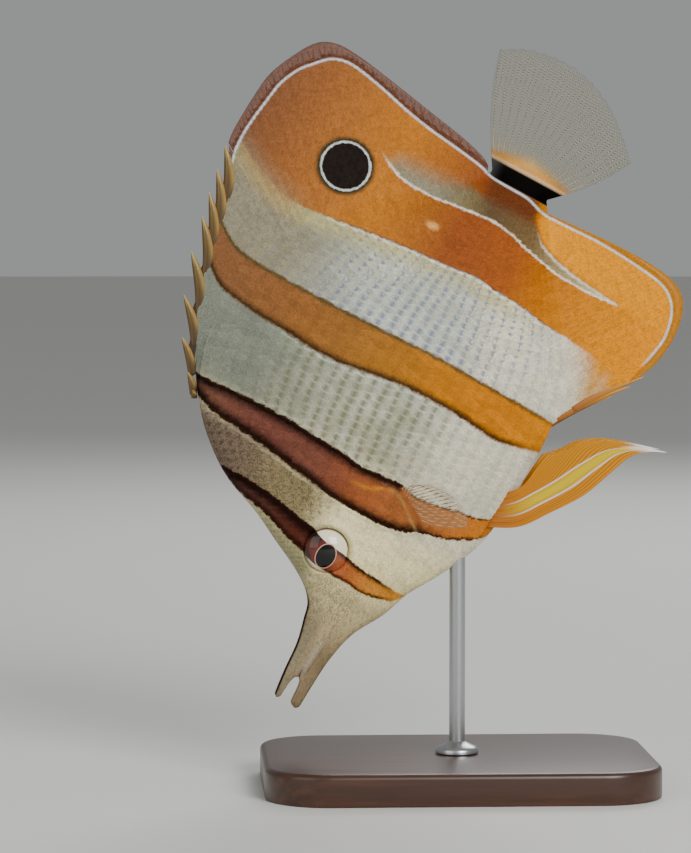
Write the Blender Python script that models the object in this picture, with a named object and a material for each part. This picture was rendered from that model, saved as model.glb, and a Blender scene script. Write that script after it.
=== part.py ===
"""A copperband butterflyfish as a life-size museum model, head down, on a rod and a flat base.

Lengths are millimetres until a mesh is written in metres. The fish is drawn in its own frame: x runs
from the mouth to the tail, z towards the back, and its left side is -y. One empty turns it head down.
"""

import math
from bisect import bisect_right

import bmesh
import bpy
from mathutils import Vector

MM = 0.001
GAP = 0.3

# The pose: the body's length from the mouth to the tail fin's root, its tilt, and where that root is.
BODY_LENGTH = 141.7
BODY_END = 140.3
HEAD_DOWN = math.radians(62)
TAIL_ROOT_ACROSS = 16.0
TAIL_ROOT_HEIGHT = 151.25

# The body's outline from the side, without its fins, as (length, height).
BACK = [(-1.2, -5.4), (6, -4.7), (14, -4.2), (20, -2.9), (24, -1.8), (27, 0.7), (30, 5), (34, 12.7)]
BACK += [(38, 20.3), (42, 30), (48, 38.5), (55, 45), (66, 50.2), (80, 52), (92, 50.5), (104, 45)]
BACK += [(118, 33.5), (130, 19), (136, 11), (140.5, 8)]
BELLY = [(-1.2, -12.4), (6, -12.8), (14, -13.6), (22, -15.7), (30, -20.2), (38, -23.4), (44, -27.2)]
BELLY += [(56, -33), (66, -34.9), (80, -35.5), (92, -35.2), (104, -32), (116, -25), (128, -15.5), (140.5, -7.6)]

# Half of the body's width, the level at which it is widest, and how lens-like its section is.
HALF_WIDTH = [(-1.2, 0.5), (0.5, 1.1), (4, 1.6), (8, 1.9), (14, 2.4), (20, 3.2), (26, 4.6), (32, 6.2)]
HALF_WIDTH += [(38, 7.4), (46, 8.9), (56, 10.1), (68, 10.6), (80, 10.2), (95, 8.6), (110, 6.6)]
HALF_WIDTH += [(122, 5.0), (132, 3.7), (140.5, 2.9)]
WIDEST_LEVEL = [(-1.2, -9), (14, -9), (22, -8), (30, -5), (38, -1), (50, 2), (70, 6), (100, 5), (120, 3)]
WIDEST_LEVEL += [(140.5, 0.2)]
LENS = [(-1.2, 0.9), (30, 1.0), (60, 1.3), (110, 1.3), (140.5, 1.1)]

# Half of the thickness of the body's upper and lower edges, which carry the fins.
BACK_EDGE = [(-1.2, 0.3), (40, 0.5), (52, 1.2), (60, 1.8), (100, 1.9), (130, 1.5), (140.5, 1.0)]
BELLY_EDGE = [(-1.2, 0.3), (40, 0.6), (60, 0.9), (88, 1.0), (96, 1.6), (130, 1.4), (140.5, 1.0)]

# Lines where the body is parted, as (length, height), from above it to below it.
HEAD_LINE = [(43.5, 42), (45.5, 34), (48.5, 25), (52.5, 16), (56, 9), (58.6, 3), (59.9, -3), (59.6, -8)]
HEAD_LINE += [(56.6, -13), (52, -17.4), (46.5, -22), (42, -25.4), (40, -29)]
GILL_TOP = (55.0, 11.0)
GILL_FRONT = [(50, 12.2), (47.3, 8), (46, 0), (44.6, -9), (43.4, -17), (44.6, -20.4)]
GILL_DEPTH = 4.0
STALK_LINE = 129.0
JAW_END = 20.6
LIP_END = 7.6

EYE_PLACE = (38.2, 0.5)
EYE_RADIUS = 5.8
EYE_HALF_DEPTH = 3.4
EYE_SUNK = 2.2

DORSAL_START = 55.5
DORSAL_SPLIT = 101.0
DORSAL_END = 139.4
SHEATH = [(58, 47.8), (62, 50.6), (67, 53.2), (74, 57), (80, 59), (86, 61), (93, 63), (100, 63.9)]
SHEATH += [(106, 65), (111, 66.6), (115.6, 69)]
SPINE_TIPS = [(57.6, 48.6), (61, 51.6), (68, 57), (77.5, 61.5), (88, 65), (97, 66.7), (103, 67.8)]
SPINE_TIPS += [(109, 68.8), (115.2, 69.8)]
SPINE_SUNK = 2.0
ANAL_START = 92.5
ANAL_END = 137.6

# The margins of the soft fins, as (length, height), how many rays each has, and how thin they get.
DORSAL_MARGIN = [(116, 69.3), (120, 69.7), (130, 69.1), (136, 68.2), (142, 65.6), (148, 61.8), (150.4, 57)]
DORSAL_MARGIN += [(150.2, 50), (148.6, 40), (146.6, 29), (144.6, 18), (142.8, 11.6), (141.4, 9.4)]
ANAL_MARGIN = [(107, -45.4), (112, -48.7), (118, -51.2), (125, -52.1), (131, -51.3), (135.5, -49), (138, -44.6)]
ANAL_MARGIN += [(139, -38), (139.1, -30), (138.7, -22), (138.2, -14), (137.9, -10)]
ANAL_SPINES = [((96.6, -37.4), (105.6, -44.7)), ((99, -38.8), (110.6, -48)), ((102, -40.6), (113.4, -50.2))]
TAIL_MARGIN = [(159, -21.9), (162.4, -18.4), (166, -14.4), (169.4, -9.6), (171.9, -4), (173.2, 2), (173.1, 8)]
TAIL_MARGIN += [(171.6, 14.6), (168.5, 20.5)]
TAIL_SPREAD = 3.2
DORSAL_RAYS, ANAL_RAYS, TAIL_RAYS, PECTORAL_RAYS, PELVIC_RAYS = 28, 19, 17, 15, 6
MEMBRANE = 0.25

# The left pectoral and pelvic fins: their front edge, back edge and margin, as (length, side, height).
PECTORAL_FRONT = [(60.3, -8.4, -8.6), (60.8, -17, -7.6), (61.6, -25, -7.6), (63.2, -32, -8.6)]
PECTORAL_BACK = [(55.4, -7.4, -16.4), (56, -13.2, -19.4), (57.6, -18.6, -22.8), (60, -23, -26)]
PECTORAL_MARGIN = [(63.2, -32, -8.6), (65.2, -33, -12), (65.8, -32, -16.3), (64.9, -29.4, -20.8)]
PECTORAL_MARGIN += [(62.9, -26.4, -24), (60, -23, -26)]
PELVIC_FRONT = [(61.5, -2.3, -32.5), (65.5, -2.9, -39.6), (72, -3.7, -44.6), (80, -4.6, -50), (88, -5.4, -53.2)]
PELVIC_FRONT += [(94, -6, -55.6), (97.4, -6.4, -59.4), (99.2, -6.6, -63.2)]
PELVIC_BACK = [(71, -2.3, -32.5), (75, -2.8, -35.6), (80, -3.4, -36.4), (84.2, -4, -37)]
PELVIC_MARGIN = [(99.2, -6.6, -63.2), (97.8, -6.5, -58), (96.4, -6.3, -53), (94.6, -6, -48.2)]
PELVIC_MARGIN += [(91.6, -5.4, -43.6), (88, -4.8, -40.8), (84.2, -4, -37)]

# The mouth: the gape's upper and lower rims, the beads of the lips, and two nostrils a side.
UPPER_RIM = [(7.6, -9.65), (6.2, -8.6), (4, -7.3), (0.4, -6.9), (-0.4, -6.7)]
LOWER_RIM = [(-1.0, -11.3), (-0.7, -10.2), (0.5, -9.7), (6, -9.7), (7.6, -9.95)]
UPPER_LIP = [(6.4, 1.75, -8.5), (4, 1.55, -7.4), (1.2, 1.2, -7.05), (0.1, 0.8, -6.95), (-0.5, 0, -6.8)]
LOWER_LIP = [(6.2, 1.75, -9.95), (3.5, 1.55, -9.95), (0.8, 1.2, -9.95), (-0.3, 0.8, -10.05), (-0.8, 0, -10.4)]
LIP_BEAD = 0.42
NOSTRILS = ((30.4, 1.1, 0.7), (28.7, 0.2, 0.5))

ROD_RADIUS = 2.0
ROD_PLACE = 0.0
ROD_TOP = 63.5
BASE_SIZE = (98.0, 72.0, 8.0)
BASE_CORNER = 16.0
BASE_BEVEL = 1.4
PEG_FLOOR = 3.0
ROD_FOOT_RADIUS = 5.4
ROD_FOOT_HEIGHT = 3.0
SIDE = 40.0


def curve(points):
    """The height at any length on a smooth line through the points."""
    places = [p[0] for p in points]
    heights = [p[1] for p in points]
    steps = [(heights[i + 1] - heights[i]) / (places[i + 1] - places[i]) for i in range(len(points) - 1)]
    slopes = [steps[0]] + [(a + b) / 2 for a, b in zip(steps, steps[1:])] + [steps[-1]]

    def height(place):
        place = min(max(place, places[0]), places[-1])
        i = min(bisect_right(places, place), len(places) - 1) - 1
        wide = places[i + 1] - places[i]
        t = (place - places[i]) / wide
        start = heights[i] * (1 + 2 * t) * (1 - t) ** 2 + slopes[i] * wide * t * (1 - t) ** 2
        end = heights[i + 1] * t * t * (3 - 2 * t) - slopes[i + 1] * wide * t * t * (1 - t)
        return start + end

    return height


def path(points, steps=10):
    """A point on a smooth line through the points, by its share of the line's whole length."""
    knots = [Vector(p) for p in points]
    knots = [2 * knots[0] - knots[1]] + knots + [2 * knots[-1] - knots[-2]]
    line = [knots[1]]
    for a, b, c, d in zip(knots, knots[1:], knots[2:], knots[3:]):
        for i in range(1, steps + 1):
            t = i / steps
            bend = (2 * a - 5 * b + 4 * c - d) * t * t + (3 * b - a - 3 * c + d) * t ** 3
            line.append(b + ((c - a) * t + bend) / 2)
    far = [0.0]
    for a, b in zip(line, line[1:]):
        far.append(far[-1] + (b - a).length)

    def place(share):
        length = min(max(share, 0.0), 1.0) * far[-1]
        i = min(bisect_right(far, length), len(far) - 1) - 1
        return line[i].lerp(line[i + 1], (length - far[i]) / (far[i + 1] - far[i]))

    return place


back, belly, half_width = curve(BACK), curve(BELLY), curve(HALF_WIDTH)
widest_level, lens = curve(WIDEST_LEVEL), curve(LENS)
back_edge, belly_edge = curve(BACK_EDGE), curve(BELLY_EDGE)


def surface(x, z):
    """Half of the body's width at a point of its side."""
    level = widest_level(x)
    edge, reach = (back_edge(x), back(x) - level) if z > level else (belly_edge(x), belly(x) - level)
    rise = min(abs((z - level) / reach), 1.0)
    return edge + (half_width(x) - edge) * math.sqrt(1 - rise * rise) ** lens(x)


def write(name, bm):
    """Makes an object of a mesh drawn in millimetres."""
    bmesh.ops.scale(bm, vec=(MM, MM, MM), verts=bm.verts[:])
    bmesh.ops.recalc_face_normals(bm, faces=bm.faces[:])
    mesh = bpy.data.meshes.new(name)
    bm.to_mesh(mesh)
    bm.free()
    mesh.shade_smooth()
    obj = bpy.data.objects.new(name, mesh)
    bpy.context.scene.collection.objects.link(obj)
    return obj


def drop(objects):
    for obj in objects:
        mesh = obj.data
        bpy.data.objects.remove(obj)
        bpy.data.meshes.remove(mesh)


def boolean(obj, others, operation):
    """Joins, cuts or keeps what obj shares with the others, and removes them."""
    helpers = bpy.data.collections.new("helpers")
    bpy.context.scene.collection.children.link(helpers)
    for other in others:
        helpers.objects.link(other)
    join = obj.modifiers.new("join", "BOOLEAN")
    join.operand_type = "COLLECTION"
    join.collection = helpers
    join.operation = operation
    join.solver = "EXACT"
    bpy.context.view_layer.update()
    graph = bpy.context.evaluated_depsgraph_get()
    made = bpy.data.meshes.new_from_object(obj.evaluated_get(graph))
    obj.modifiers.clear()
    old = obj.data
    obj.data = made
    bpy.data.meshes.remove(old)
    drop(others)
    bpy.data.collections.remove(helpers)
    keep_largest(obj)


def keep_largest(obj):
    """Leaves the largest closed surface of a mesh."""
    bm = bmesh.new()
    bm.from_mesh(obj.data)
    bmesh.ops.remove_doubles(bm, verts=bm.verts[:], dist=0.002 * MM)
    bmesh.ops.triangulate(bm, faces=bm.faces[:])
    left = set(bm.verts)
    shells = []
    while left:
        shell, fresh = set(), [left.pop()]
        while fresh:
            vert = fresh.pop()
            shell.add(vert)
            near = {edge.other_vert(vert) for edge in vert.link_edges} & left
            left -= near
            fresh.extend(near)
        shells.append(shell)
    spare = [vert for shell in sorted(shells, key=len)[:-1] for vert in shell]
    bmesh.ops.delete(bm, geom=spare, context="VERTS")
    bm.to_mesh(obj.data)
    bm.free()


def copy(obj, name):
    twin = bpy.data.objects.new(name, obj.data.copy())
    bpy.context.scene.collection.objects.link(twin)
    return twin


def mirrored(obj, name):
    """The same piece on the fish's right side."""
    bm = bmesh.new()
    bm.from_mesh(obj.data)
    bmesh.ops.scale(bm, vec=(1 / MM, -1 / MM, 1 / MM), verts=bm.verts[:])
    return write(name, bm)


def finish(obj, color, roughness=0.45):
    """Gives a piece of the fish its own material and its place under the pose."""
    material = bpy.data.materials.new(obj.name)
    material.use_nodes = True
    shader = material.node_tree.nodes["Principled BSDF"]
    shader.inputs["Base Color"].default_value = (*color, 1)
    shader.inputs["Roughness"].default_value = roughness
    obj.data.materials.clear()
    obj.data.materials.append(material)
    obj.data.name = obj.name
    bpy.context.scene.collection.objects.unlink(obj)
    bpy.data.collections["copperband butterflyfish"].objects.link(obj)


def vane(name, columns, rows, middle, half):
    """A blade whose middle sheet is middle(s, t), with half its thickness on each side, split alike."""
    bm = bmesh.new()
    bmesh.ops.create_grid(bm, x_segments=columns, y_segments=rows, size=0.5)
    thickness = bm.verts.layers.float.new("half")
    facing = bm.verts.layers.float_vector.new("facing")
    for vert in bm.verts:
        s, t = vert.co.x + 0.5, vert.co.y + 0.5
        vert[thickness] = half(s, t)
        vert.co = middle(s, t)
    bmesh.ops.triangulate(bm, faces=bm.faces[:])
    bm.normal_update()
    for vert in bm.verts:
        vert[facing] = vert.normal
    raised = set(bmesh.ops.extrude_face_region(bm, geom=bm.faces[:])["geom"])
    for vert in bm.verts:
        side = 1 if vert in raised else -1
        vert.co += vert[facing] * vert[thickness] * side
    bmesh.ops.triangulate(bm, faces=bm.faces[:])
    return write(name, bm)


def widened(outline, by):
    """The outline moved outwards, or inwards where by is below zero."""
    area = sum(a[0] * b[1] - b[0] * a[1] for a, b in zip(outline, outline[1:] + outline[:1]))
    turn = 1 if area > 0 else -1
    moved = []
    for before, here, after in zip(outline[-1:] + outline[:-1], outline, outline[1:] + outline[:1]):
        a = (Vector(here) - Vector(before)).normalized()
        b = (Vector(after) - Vector(here)).normalized()
        mitre = Vector((a.y + b.y, -a.x - b.x)) / (1 + a.dot(b))
        moved.append(Vector(here) + mitre * by * turn)
    return moved


def prism(outline, low, high, by=0.0):
    """A solid of an outline drawn in x and z, between two values of y."""
    bm = bmesh.new()
    face = bm.faces.new([bm.verts.new((x, low, z)) for x, z in widened(outline, by)])
    made = bmesh.ops.extrude_face_region(bm, geom=[face])["geom"]
    far = [item for item in made if isinstance(item, bmesh.types.BMVert)]
    bmesh.ops.translate(bm, vec=(0, high - low, 0), verts=far)
    bmesh.ops.triangulate(bm, faces=bm.faces[:])
    return write("prism", bm)


def ball(name, place, radii, segments=16, rings=10):
    """A spheroid with its poles along y."""
    bm = bmesh.new()
    bmesh.ops.create_uvsphere(bm, u_segments=segments, v_segments=rings, radius=1)
    for vert in bm.verts:
        x, y, z = vert.co
        vert.co = (place[0] + x * radii[0], place[1] + z * radii[1], place[2] + y * radii[2])
    return write(name, bm)


def spine(start, end, wide, thick, sides=6):
    """A pointed blade in the fish's middle plane, from its sunk root to its tip."""
    bm = bmesh.new()
    bmesh.ops.create_cone(bm, cap_ends=True, segments=sides, radius1=1, radius2=0.12, depth=1)
    start, end = Vector(start), Vector(end)
    along = end - start
    across = Vector((-along.z, 0, along.x)).normalized()
    for vert in bm.verts:
        x, y, z = vert.co
        vert.co = start + along * (z + 0.5) + across * x * wide / 2 + Vector((0, y * thick / 2, 0))
    bmesh.ops.triangulate(bm, faces=bm.faces[:])
    return write("spine", bm)


def whole_body(grow=0.0):
    """The body without fins, from the lips to the tail fin's root, made larger all round by grow."""
    fine_share, fine_length = 0.42, 45.0

    def length(s):
        start = BACK[0][0]
        if s < fine_share:
            return start + (fine_length - start) * s / fine_share
        return fine_length + (BODY_END - fine_length) * (s - fine_share) / (1 - fine_share)

    def middle(s, t):
        x = length(s)
        level, rise = widest_level(x), math.sin((t - 0.5) * math.pi)
        reach = back(x) + grow - level if rise > 0 else level - belly(x) + grow
        return Vector((x, 0, level + reach * rise))

    def half(s, t):
        x = length(s)
        edge = (back_edge(x) if t > 0.5 else belly_edge(x)) + grow
        return edge + (half_width(x) + grow - edge) * max(math.cos((t - 0.5) * math.pi), 0) ** lens(x)

    return vane("body", 54, 12, middle, half)


def lip(points):
    """A round bead along half of a mouth's rim and back along the other half."""
    bead = bpy.data.curves.new("lip", "CURVE")
    bead.dimensions = "3D"
    bead.bevel_depth = LIP_BEAD * MM
    bead.bevel_resolution = 1
    bead.use_fill_caps = True
    left = [(x, -y, z) for x, y, z in points]
    line = left + [(x, y, z) for x, y, z in reversed(points[:-1])]
    spline = bead.splines.new("POLY")
    spline.points.add(len(line) - 1)
    for point, place in zip(spline.points, line):
        point.co = (*(c * MM for c in place), 1)
    tube = bpy.data.objects.new("lip", bead)
    bpy.context.scene.collection.objects.link(tube)
    bpy.context.view_layer.update()
    made = bpy.data.meshes.new_from_object(tube.evaluated_get(bpy.context.evaluated_depsgraph_get()))
    bpy.data.objects.remove(tube)
    bm = bmesh.new()
    bm.from_mesh(made)
    bpy.data.meshes.remove(made)
    bmesh.ops.remove_doubles(bm, verts=bm.verts[:], dist=0.001 * MM)
    bmesh.ops.scale(bm, vec=(1 / MM, 1 / MM, 1 / MM), verts=bm.verts[:])
    return write("lip", bm)


def head_rim():
    line = path(HEAD_LINE)
    return [tuple(line(i / 22)) for i in range(23)]


def gill_outline():
    """The gill cover's outline: down its front edge, then up the rim that it shares with the head."""
    rim = [p for p in head_rim() if GILL_FRONT[-1][1] < p[1] < GILL_TOP[1]]
    return GILL_FRONT + rim[::-1]


def make_body():
    """Parts the body by thin cuts into the jaws, the head with its gill covers, the trunk and the stalk."""
    body = whole_body()
    rim = head_rim()
    outlines = {
        "lower_jaw": LOWER_RIM + [(JAW_END, -10.35), (JAW_END, -20), (2, -20), (0.2, -12.9), (-0.6, -12.3)],
        "upper_jaw": UPPER_RIM + [(-0.75, -6.1), (-0.5, -5.3), (0.6, -4), (2, -2), (LIP_END, -2)],
        "head": rim + [(30, -40), (JAW_END, -40), (JAW_END, -10.05), (LIP_END, -9.65), (LIP_END, 42)],
        "trunk": rim + [(60, -60), (STALK_LINE, -60), (STALK_LINE, 70), (60, 70)],
        "tail_stalk": [(STALK_LINE, -60), (150, -60), (150, 60), (STALK_LINE, 60)],
    }
    pieces = {}
    for name, outline in outlines.items():
        pieces[name] = copy(body, name)
        boolean(pieces[name], [prism(outline, -SIDE, SIDE, -GAP / 2)], "INTERSECT")
    gill = copy(body, "gill_cover_left")
    boolean(gill, [prism(gill_outline(), -SIDE, -GILL_DEPTH, -GAP / 2)], "INTERSECT")
    for vert in gill.data.vertices:
        vert.co.y -= GAP * MM
    pieces["gill_cover_left"] = gill
    pieces["gill_cover_right"] = mirrored(gill, "gill_cover_right")
    drop([body])
    return pieces


def eye_ball(side, grow=0.0):
    x, z = EYE_PLACE
    y = side * (surface(x, z) - EYE_SUNK)
    name = "eye_left" if side < 0 else "eye_right"
    return ball(name, (x, y, z), (EYE_RADIUS + grow, EYE_HALF_DEPTH + grow, EYE_RADIUS + grow))


def cut_head(head):
    """Opens the eye sockets, the seats of the gill covers and two nostrils a side."""
    cutters = []
    for side in (-1, 1):
        cutters.append(eye_ball(side, GAP))
        low, high = sorted((side * SIDE, side * GILL_DEPTH))
        cutters.append(prism(gill_outline(), low, high, GAP / 2))
        for x, z, radius in NOSTRILS:
            cutters.append(ball("nostril", (x, side * surface(x, z), z), (radius, radius, radius), 8, 6))
    for cutter in cutters:
        boolean(head, [cutter], "DIFFERENCE")


def add_lips(pieces):
    boolean(pieces["upper_jaw"], [lip(UPPER_LIP)], "UNION")
    boolean(pieces["lower_jaw"], [lip(LOWER_LIP)], "UNION")


def fin_thickness(rays, root, tip_share=0.75, ridge=0.16, branch=None):
    """Half of a fin's thickness: thick at its root, thin at its margin, with a ridge along each ray."""

    def half(s, t):
        place = s * rays
        away = abs(place - round(place)) * 2
        if branch is not None and t > branch:
            away = abs(away - 0.5) * 2 * 0.999
        ray = 1 - away
        base = root(s)
        sheet = base + (MEMBRANE - base) * t ** tip_share
        return sheet + ridge * ray * min(1.0, t * 3 + 0.2)

    return half


def between(base, margin):
    """A flat fin's middle sheet, from its base line to its margin."""

    def middle(s, t):
        x, z = base(s).lerp(margin(s), t)
        return Vector((x, 0, z))

    return middle


def base_line(edge, start, end, side):
    """The fin's foot, clear of the body's edge by the gap, on its upper side or, at -1, its lower side."""

    def foot(s):
        x = start + (end - start) * s
        slope = edge(x + 0.5) - edge(x - 0.5)
        across = Vector((-slope, 1)).normalized() * GAP * side
        return Vector((x, edge(x))) + across

    return foot


def dorsal_spines():
    """Nine spines, leaning back, that stand out of a scaly sheath."""
    margin = path(SHEATH)
    foot = base_line(back, DORSAL_START, DORSAL_SPLIT, 1)
    rim = curve(SHEATH)

    def half(s, t):
        root = back_edge(DORSAL_START + (DORSAL_SPLIT - DORSAL_START) * s)
        return root + (2 * MEMBRANE - root) * t ** 0.75

    fin = vane("dorsal_spines", 22, 4, between(foot, margin), half)
    spines = []
    for i, (x, z) in enumerate(SPINE_TIPS):
        root = x - min(1.8 + 2.8 * i, 10.5)
        wide = min(1.5 + 0.4 * i, 2.6)
        low = max(rim(root) - SPINE_SUNK, back(root) + 0.6 + wide / 2)
        spines.append(spine((root, 0, low), (x, 0, z), wide, 1.9))
    boolean(fin, spines, "UNION")
    return fin


def dorsal_soft_fin():
    foot = base_line(back, DORSAL_SPLIT + GAP, DORSAL_END, 1)
    root = lambda s: back_edge(DORSAL_SPLIT + (DORSAL_END - DORSAL_SPLIT) * s)
    sheet = between(foot, path(DORSAL_MARGIN))
    return vane("dorsal_soft_fin", 2 * DORSAL_RAYS, 7, sheet, fin_thickness(DORSAL_RAYS, root))


def anal_fin():
    """Three stout spines at the front edge, then soft rays."""
    foot = base_line(belly, ANAL_START, ANAL_END, -1)
    root = lambda s: belly_edge(ANAL_START + (ANAL_END - ANAL_START) * s)
    sheet = between(foot, path(ANAL_MARGIN))
    fin = vane("anal_fin", 2 * ANAL_RAYS, 7, sheet, fin_thickness(ANAL_RAYS, root))
    spines = [spine((a[0], 0, a[1]), (b[0], 0, b[1]), 2.4, 2.6) for a, b in ANAL_SPINES]
    boolean(fin, spines, "UNION")
    return fin


def tail_fin():
    """Seventeen branched rays, spread like a fan."""
    start = BODY_END + GAP
    low, high = belly(start) + GAP, back(start) - GAP
    foot = lambda s: Vector((start, low + (high - low) * s))
    root = lambda s: 1.0 + 1.5 * math.sin(math.pi * s) ** 0.8
    straight = between(foot, path(TAIL_MARGIN))

    def middle(s, t):
        return straight(s, t) + Vector((0, 0, (s - 0.5) * TAIL_SPREAD * math.sin(math.pi * t)))

    thickness = fin_thickness(TAIL_RAYS, root, tip_share=0.4, ridge=0.2, branch=0.55)
    return vane("tail_fin", 4 * TAIL_RAYS, 6, middle, thickness)


def coons(leading, trailing, margin):
    """A sheet between two edges, whose outer margin follows its own line."""

    def middle(s, t):
        root = leading(0).lerp(trailing(0), s)
        sides = leading(t).lerp(trailing(t), s)
        ends = root.lerp(margin(s), t)
        corners = root.lerp(leading(1).lerp(trailing(1), s), t)
        return sides + ends - corners

    return middle


def pectoral_fin():
    """The left fin, held out and swept back, its root against the trunk behind the gill cover."""
    sheet = coons(path(PECTORAL_FRONT), path(PECTORAL_BACK), path(PECTORAL_MARGIN))
    thickness = fin_thickness(PECTORAL_RAYS, lambda s: 0.75, tip_share=0.5, ridge=0.14)
    fin = vane("pectoral_fin_left", 2 * PECTORAL_RAYS, 6, sheet, thickness)
    boolean(fin, [whole_body(GAP)], "DIFFERENCE")
    return fin


def pelvic_fin():
    """The left fin: a spine and five rays, trailing back under the belly to a thread."""
    sheet = coons(path(PELVIC_FRONT), path(PELVIC_BACK), path(PELVIC_MARGIN))
    thickness = fin_thickness(PELVIC_RAYS, lambda s: 0.8 - 0.2 * s, tip_share=0.6, ridge=0.16)
    fin = vane("pelvic_fin_left", 2 * PELVIC_RAYS, 10, sheet, thickness)
    boolean(fin, [whole_body(GAP)], "DIFFERENCE")
    return fin


def to_fish(across, up):
    """A point of the standing model, as (length, height) on the fish."""
    dx, dz = across - TAIL_ROOT_ACROSS, up - TAIL_ROOT_HEIGHT
    x = BODY_LENGTH + dx * math.cos(HEAD_DOWN) + dz * math.sin(HEAD_DOWN)
    return x, -dx * math.sin(HEAD_DOWN) + dz * math.cos(HEAD_DOWN)


def rod_hole(radius, low, high):
    """A round bar along the rod's line, in the fish's frame."""
    bm = bmesh.new()
    bmesh.ops.create_cone(bm, cap_ends=True, segments=20, radius1=radius, radius2=radius, depth=1)
    for vert in bm.verts:
        x, y, z = vert.co
        along, rise = to_fish(ROD_PLACE + x, low + (z + 0.5) * (high - low))
        vert.co = (along, y, rise)
    bmesh.ops.triangulate(bm, faces=bm.faces[:])
    return write("hole", bm)


def stand_base():
    """A flat rounded block with a bevelled top edge and a hole for the rod."""
    wide, deep, high = BASE_SIZE
    bm = bmesh.new()
    bmesh.ops.create_cube(bm, size=1)
    bmesh.ops.scale(bm, vec=BASE_SIZE, verts=bm.verts[:])
    bmesh.ops.translate(bm, vec=(0, 0, high / 2), verts=bm.verts[:])
    upright = [e for e in bm.edges if abs(e.verts[0].co.z - e.verts[1].co.z) > high / 2]
    bmesh.ops.bevel(bm, geom=upright, offset=BASE_CORNER, segments=8, profile=0.5, affect="EDGES", material=-1)
    top = [e for e in bm.edges if min(v.co.z for v in e.verts) > high - 0.01]
    bmesh.ops.bevel(bm, geom=top, offset=BASE_BEVEL, segments=2, profile=0.5, affect="EDGES", material=-1)
    bmesh.ops.triangulate(bm, faces=bm.faces[:])
    base = write("stand_base", bm)
    hole = bmesh.new()
    wide = ROD_RADIUS + GAP
    bmesh.ops.create_cone(hole, cap_ends=True, segments=24, radius1=wide, radius2=wide, depth=2 * high)
    bmesh.ops.translate(hole, vec=(ROD_PLACE, 0, PEG_FLOOR + high), verts=hole.verts[:])
    boolean(base, [write("hole", hole)], "DIFFERENCE")
    base.data.set_sharp_from_angle(angle=math.radians(30))
    return base


def stand_rod():
    """A turned rod with a low foot that covers the hole in the base."""
    foot = BASE_SIZE[2] + GAP
    shoulder, wide = foot + ROD_FOOT_HEIGHT, ROD_FOOT_RADIUS
    profile = [(0, ROD_TOP), (ROD_RADIUS, ROD_TOP), (ROD_RADIUS, shoulder), (wide - 0.8, shoulder - 1.2)]
    profile += [(wide, foot + 0.8), (wide, foot), (ROD_RADIUS, foot), (ROD_RADIUS, PEG_FLOOR + GAP)]
    profile += [(0, PEG_FLOOR + GAP)]
    bm = bmesh.new()
    line = [bm.verts.new((x, 0, z)) for x, z in profile]
    for a, b in zip(line, line[1:]):
        bm.edges.new((a, b))
    bmesh.ops.spin(bm, geom=bm.verts[:] + bm.edges[:], cent=(0, 0, 0), axis=(0, 0, 1), angle=2 * math.pi,
                   steps=20, use_merge=True)
    bmesh.ops.remove_doubles(bm, verts=bm.verts[:], dist=0.001)
    bmesh.ops.translate(bm, vec=(ROD_PLACE, 0, 0), verts=bm.verts[:])
    bmesh.ops.triangulate(bm, faces=bm.faces[:])
    rod = write("stand_rod", bm)
    rod.data.set_sharp_from_angle(angle=math.radians(30))
    return rod


for obj in list(bpy.data.objects):
    bpy.data.objects.remove(obj)

collection = bpy.data.collections.new("copperband butterflyfish")
bpy.context.scene.collection.children.link(collection)

pose = bpy.data.objects.new("pose", None)
collection.objects.link(pose)
pose.rotation_euler = (0, -HEAD_DOWN, 0)
pose.location = (
    (TAIL_ROOT_ACROSS - BODY_LENGTH * math.cos(HEAD_DOWN)) * MM,
    0,
    (TAIL_ROOT_HEIGHT - BODY_LENGTH * math.sin(HEAD_DOWN)) * MM,
)

SILVER = (0.46, 0.43, 0.34)
CREAM = (0.72, 0.65, 0.5)
MAROON = (0.19, 0.04, 0.02)
ORANGE = (0.75, 0.3, 0.04)
YELLOW = (0.8, 0.45, 0.06)
CLEAR_GREY = (0.55, 0.55, 0.5)
DARK = (0.05, 0.03, 0.02)
WOOD = (0.09, 0.045, 0.025)
STEEL = (0.3, 0.3, 0.3)

pieces = make_body()
cut_head(pieces["head"])
add_lips(pieces)
boolean(pieces["trunk"], [rod_hole(ROD_RADIUS + GAP, ROD_TOP - SIDE, ROD_TOP + GAP)], "DIFFERENCE")
colors = {
    "head": CREAM,
    "upper_jaw": MAROON,
    "lower_jaw": CREAM,
    "gill_cover_left": CREAM,
    "gill_cover_right": CREAM,
    "trunk": SILVER,
    "tail_stalk": MAROON,
}
fish_parts = [(pieces[name], color) for name, color in colors.items()]
fish_parts += [(eye_ball(side), DARK) for side in (-1, 1)]
fish_parts.append((dorsal_spines(), YELLOW))
fish_parts.append((dorsal_soft_fin(), ORANGE))
fish_parts.append((anal_fin(), YELLOW))
fish_parts.append((tail_fin(), CLEAR_GREY))
for fin, right_name, color in (
    (pectoral_fin(), "pectoral_fin_right", CLEAR_GREY),
    (pelvic_fin(), "pelvic_fin_right", YELLOW),
):
    fish_parts += [(fin, color), (mirrored(fin, right_name), color)]

for obj, color in fish_parts:
    finish(obj, color)
    obj.parent = pose
finish(stand_base(), WOOD, 0.4)
finish(stand_rod(), STEEL, 0.3)
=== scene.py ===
"""A copperband butterflyfish as a life-size museum model, head down, on a steel rod and a wooden base.

Lengths are millimetres in the fish's own frame: x runs from the mouth to the tail, z towards the back,
and its left side is -y. A piece is drawn there, and then turned head down and written in metres.
"""

import math

import bmesh
import bpy
import numpy as np
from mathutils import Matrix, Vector
from mathutils.bvhtree import BVHTree


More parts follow.
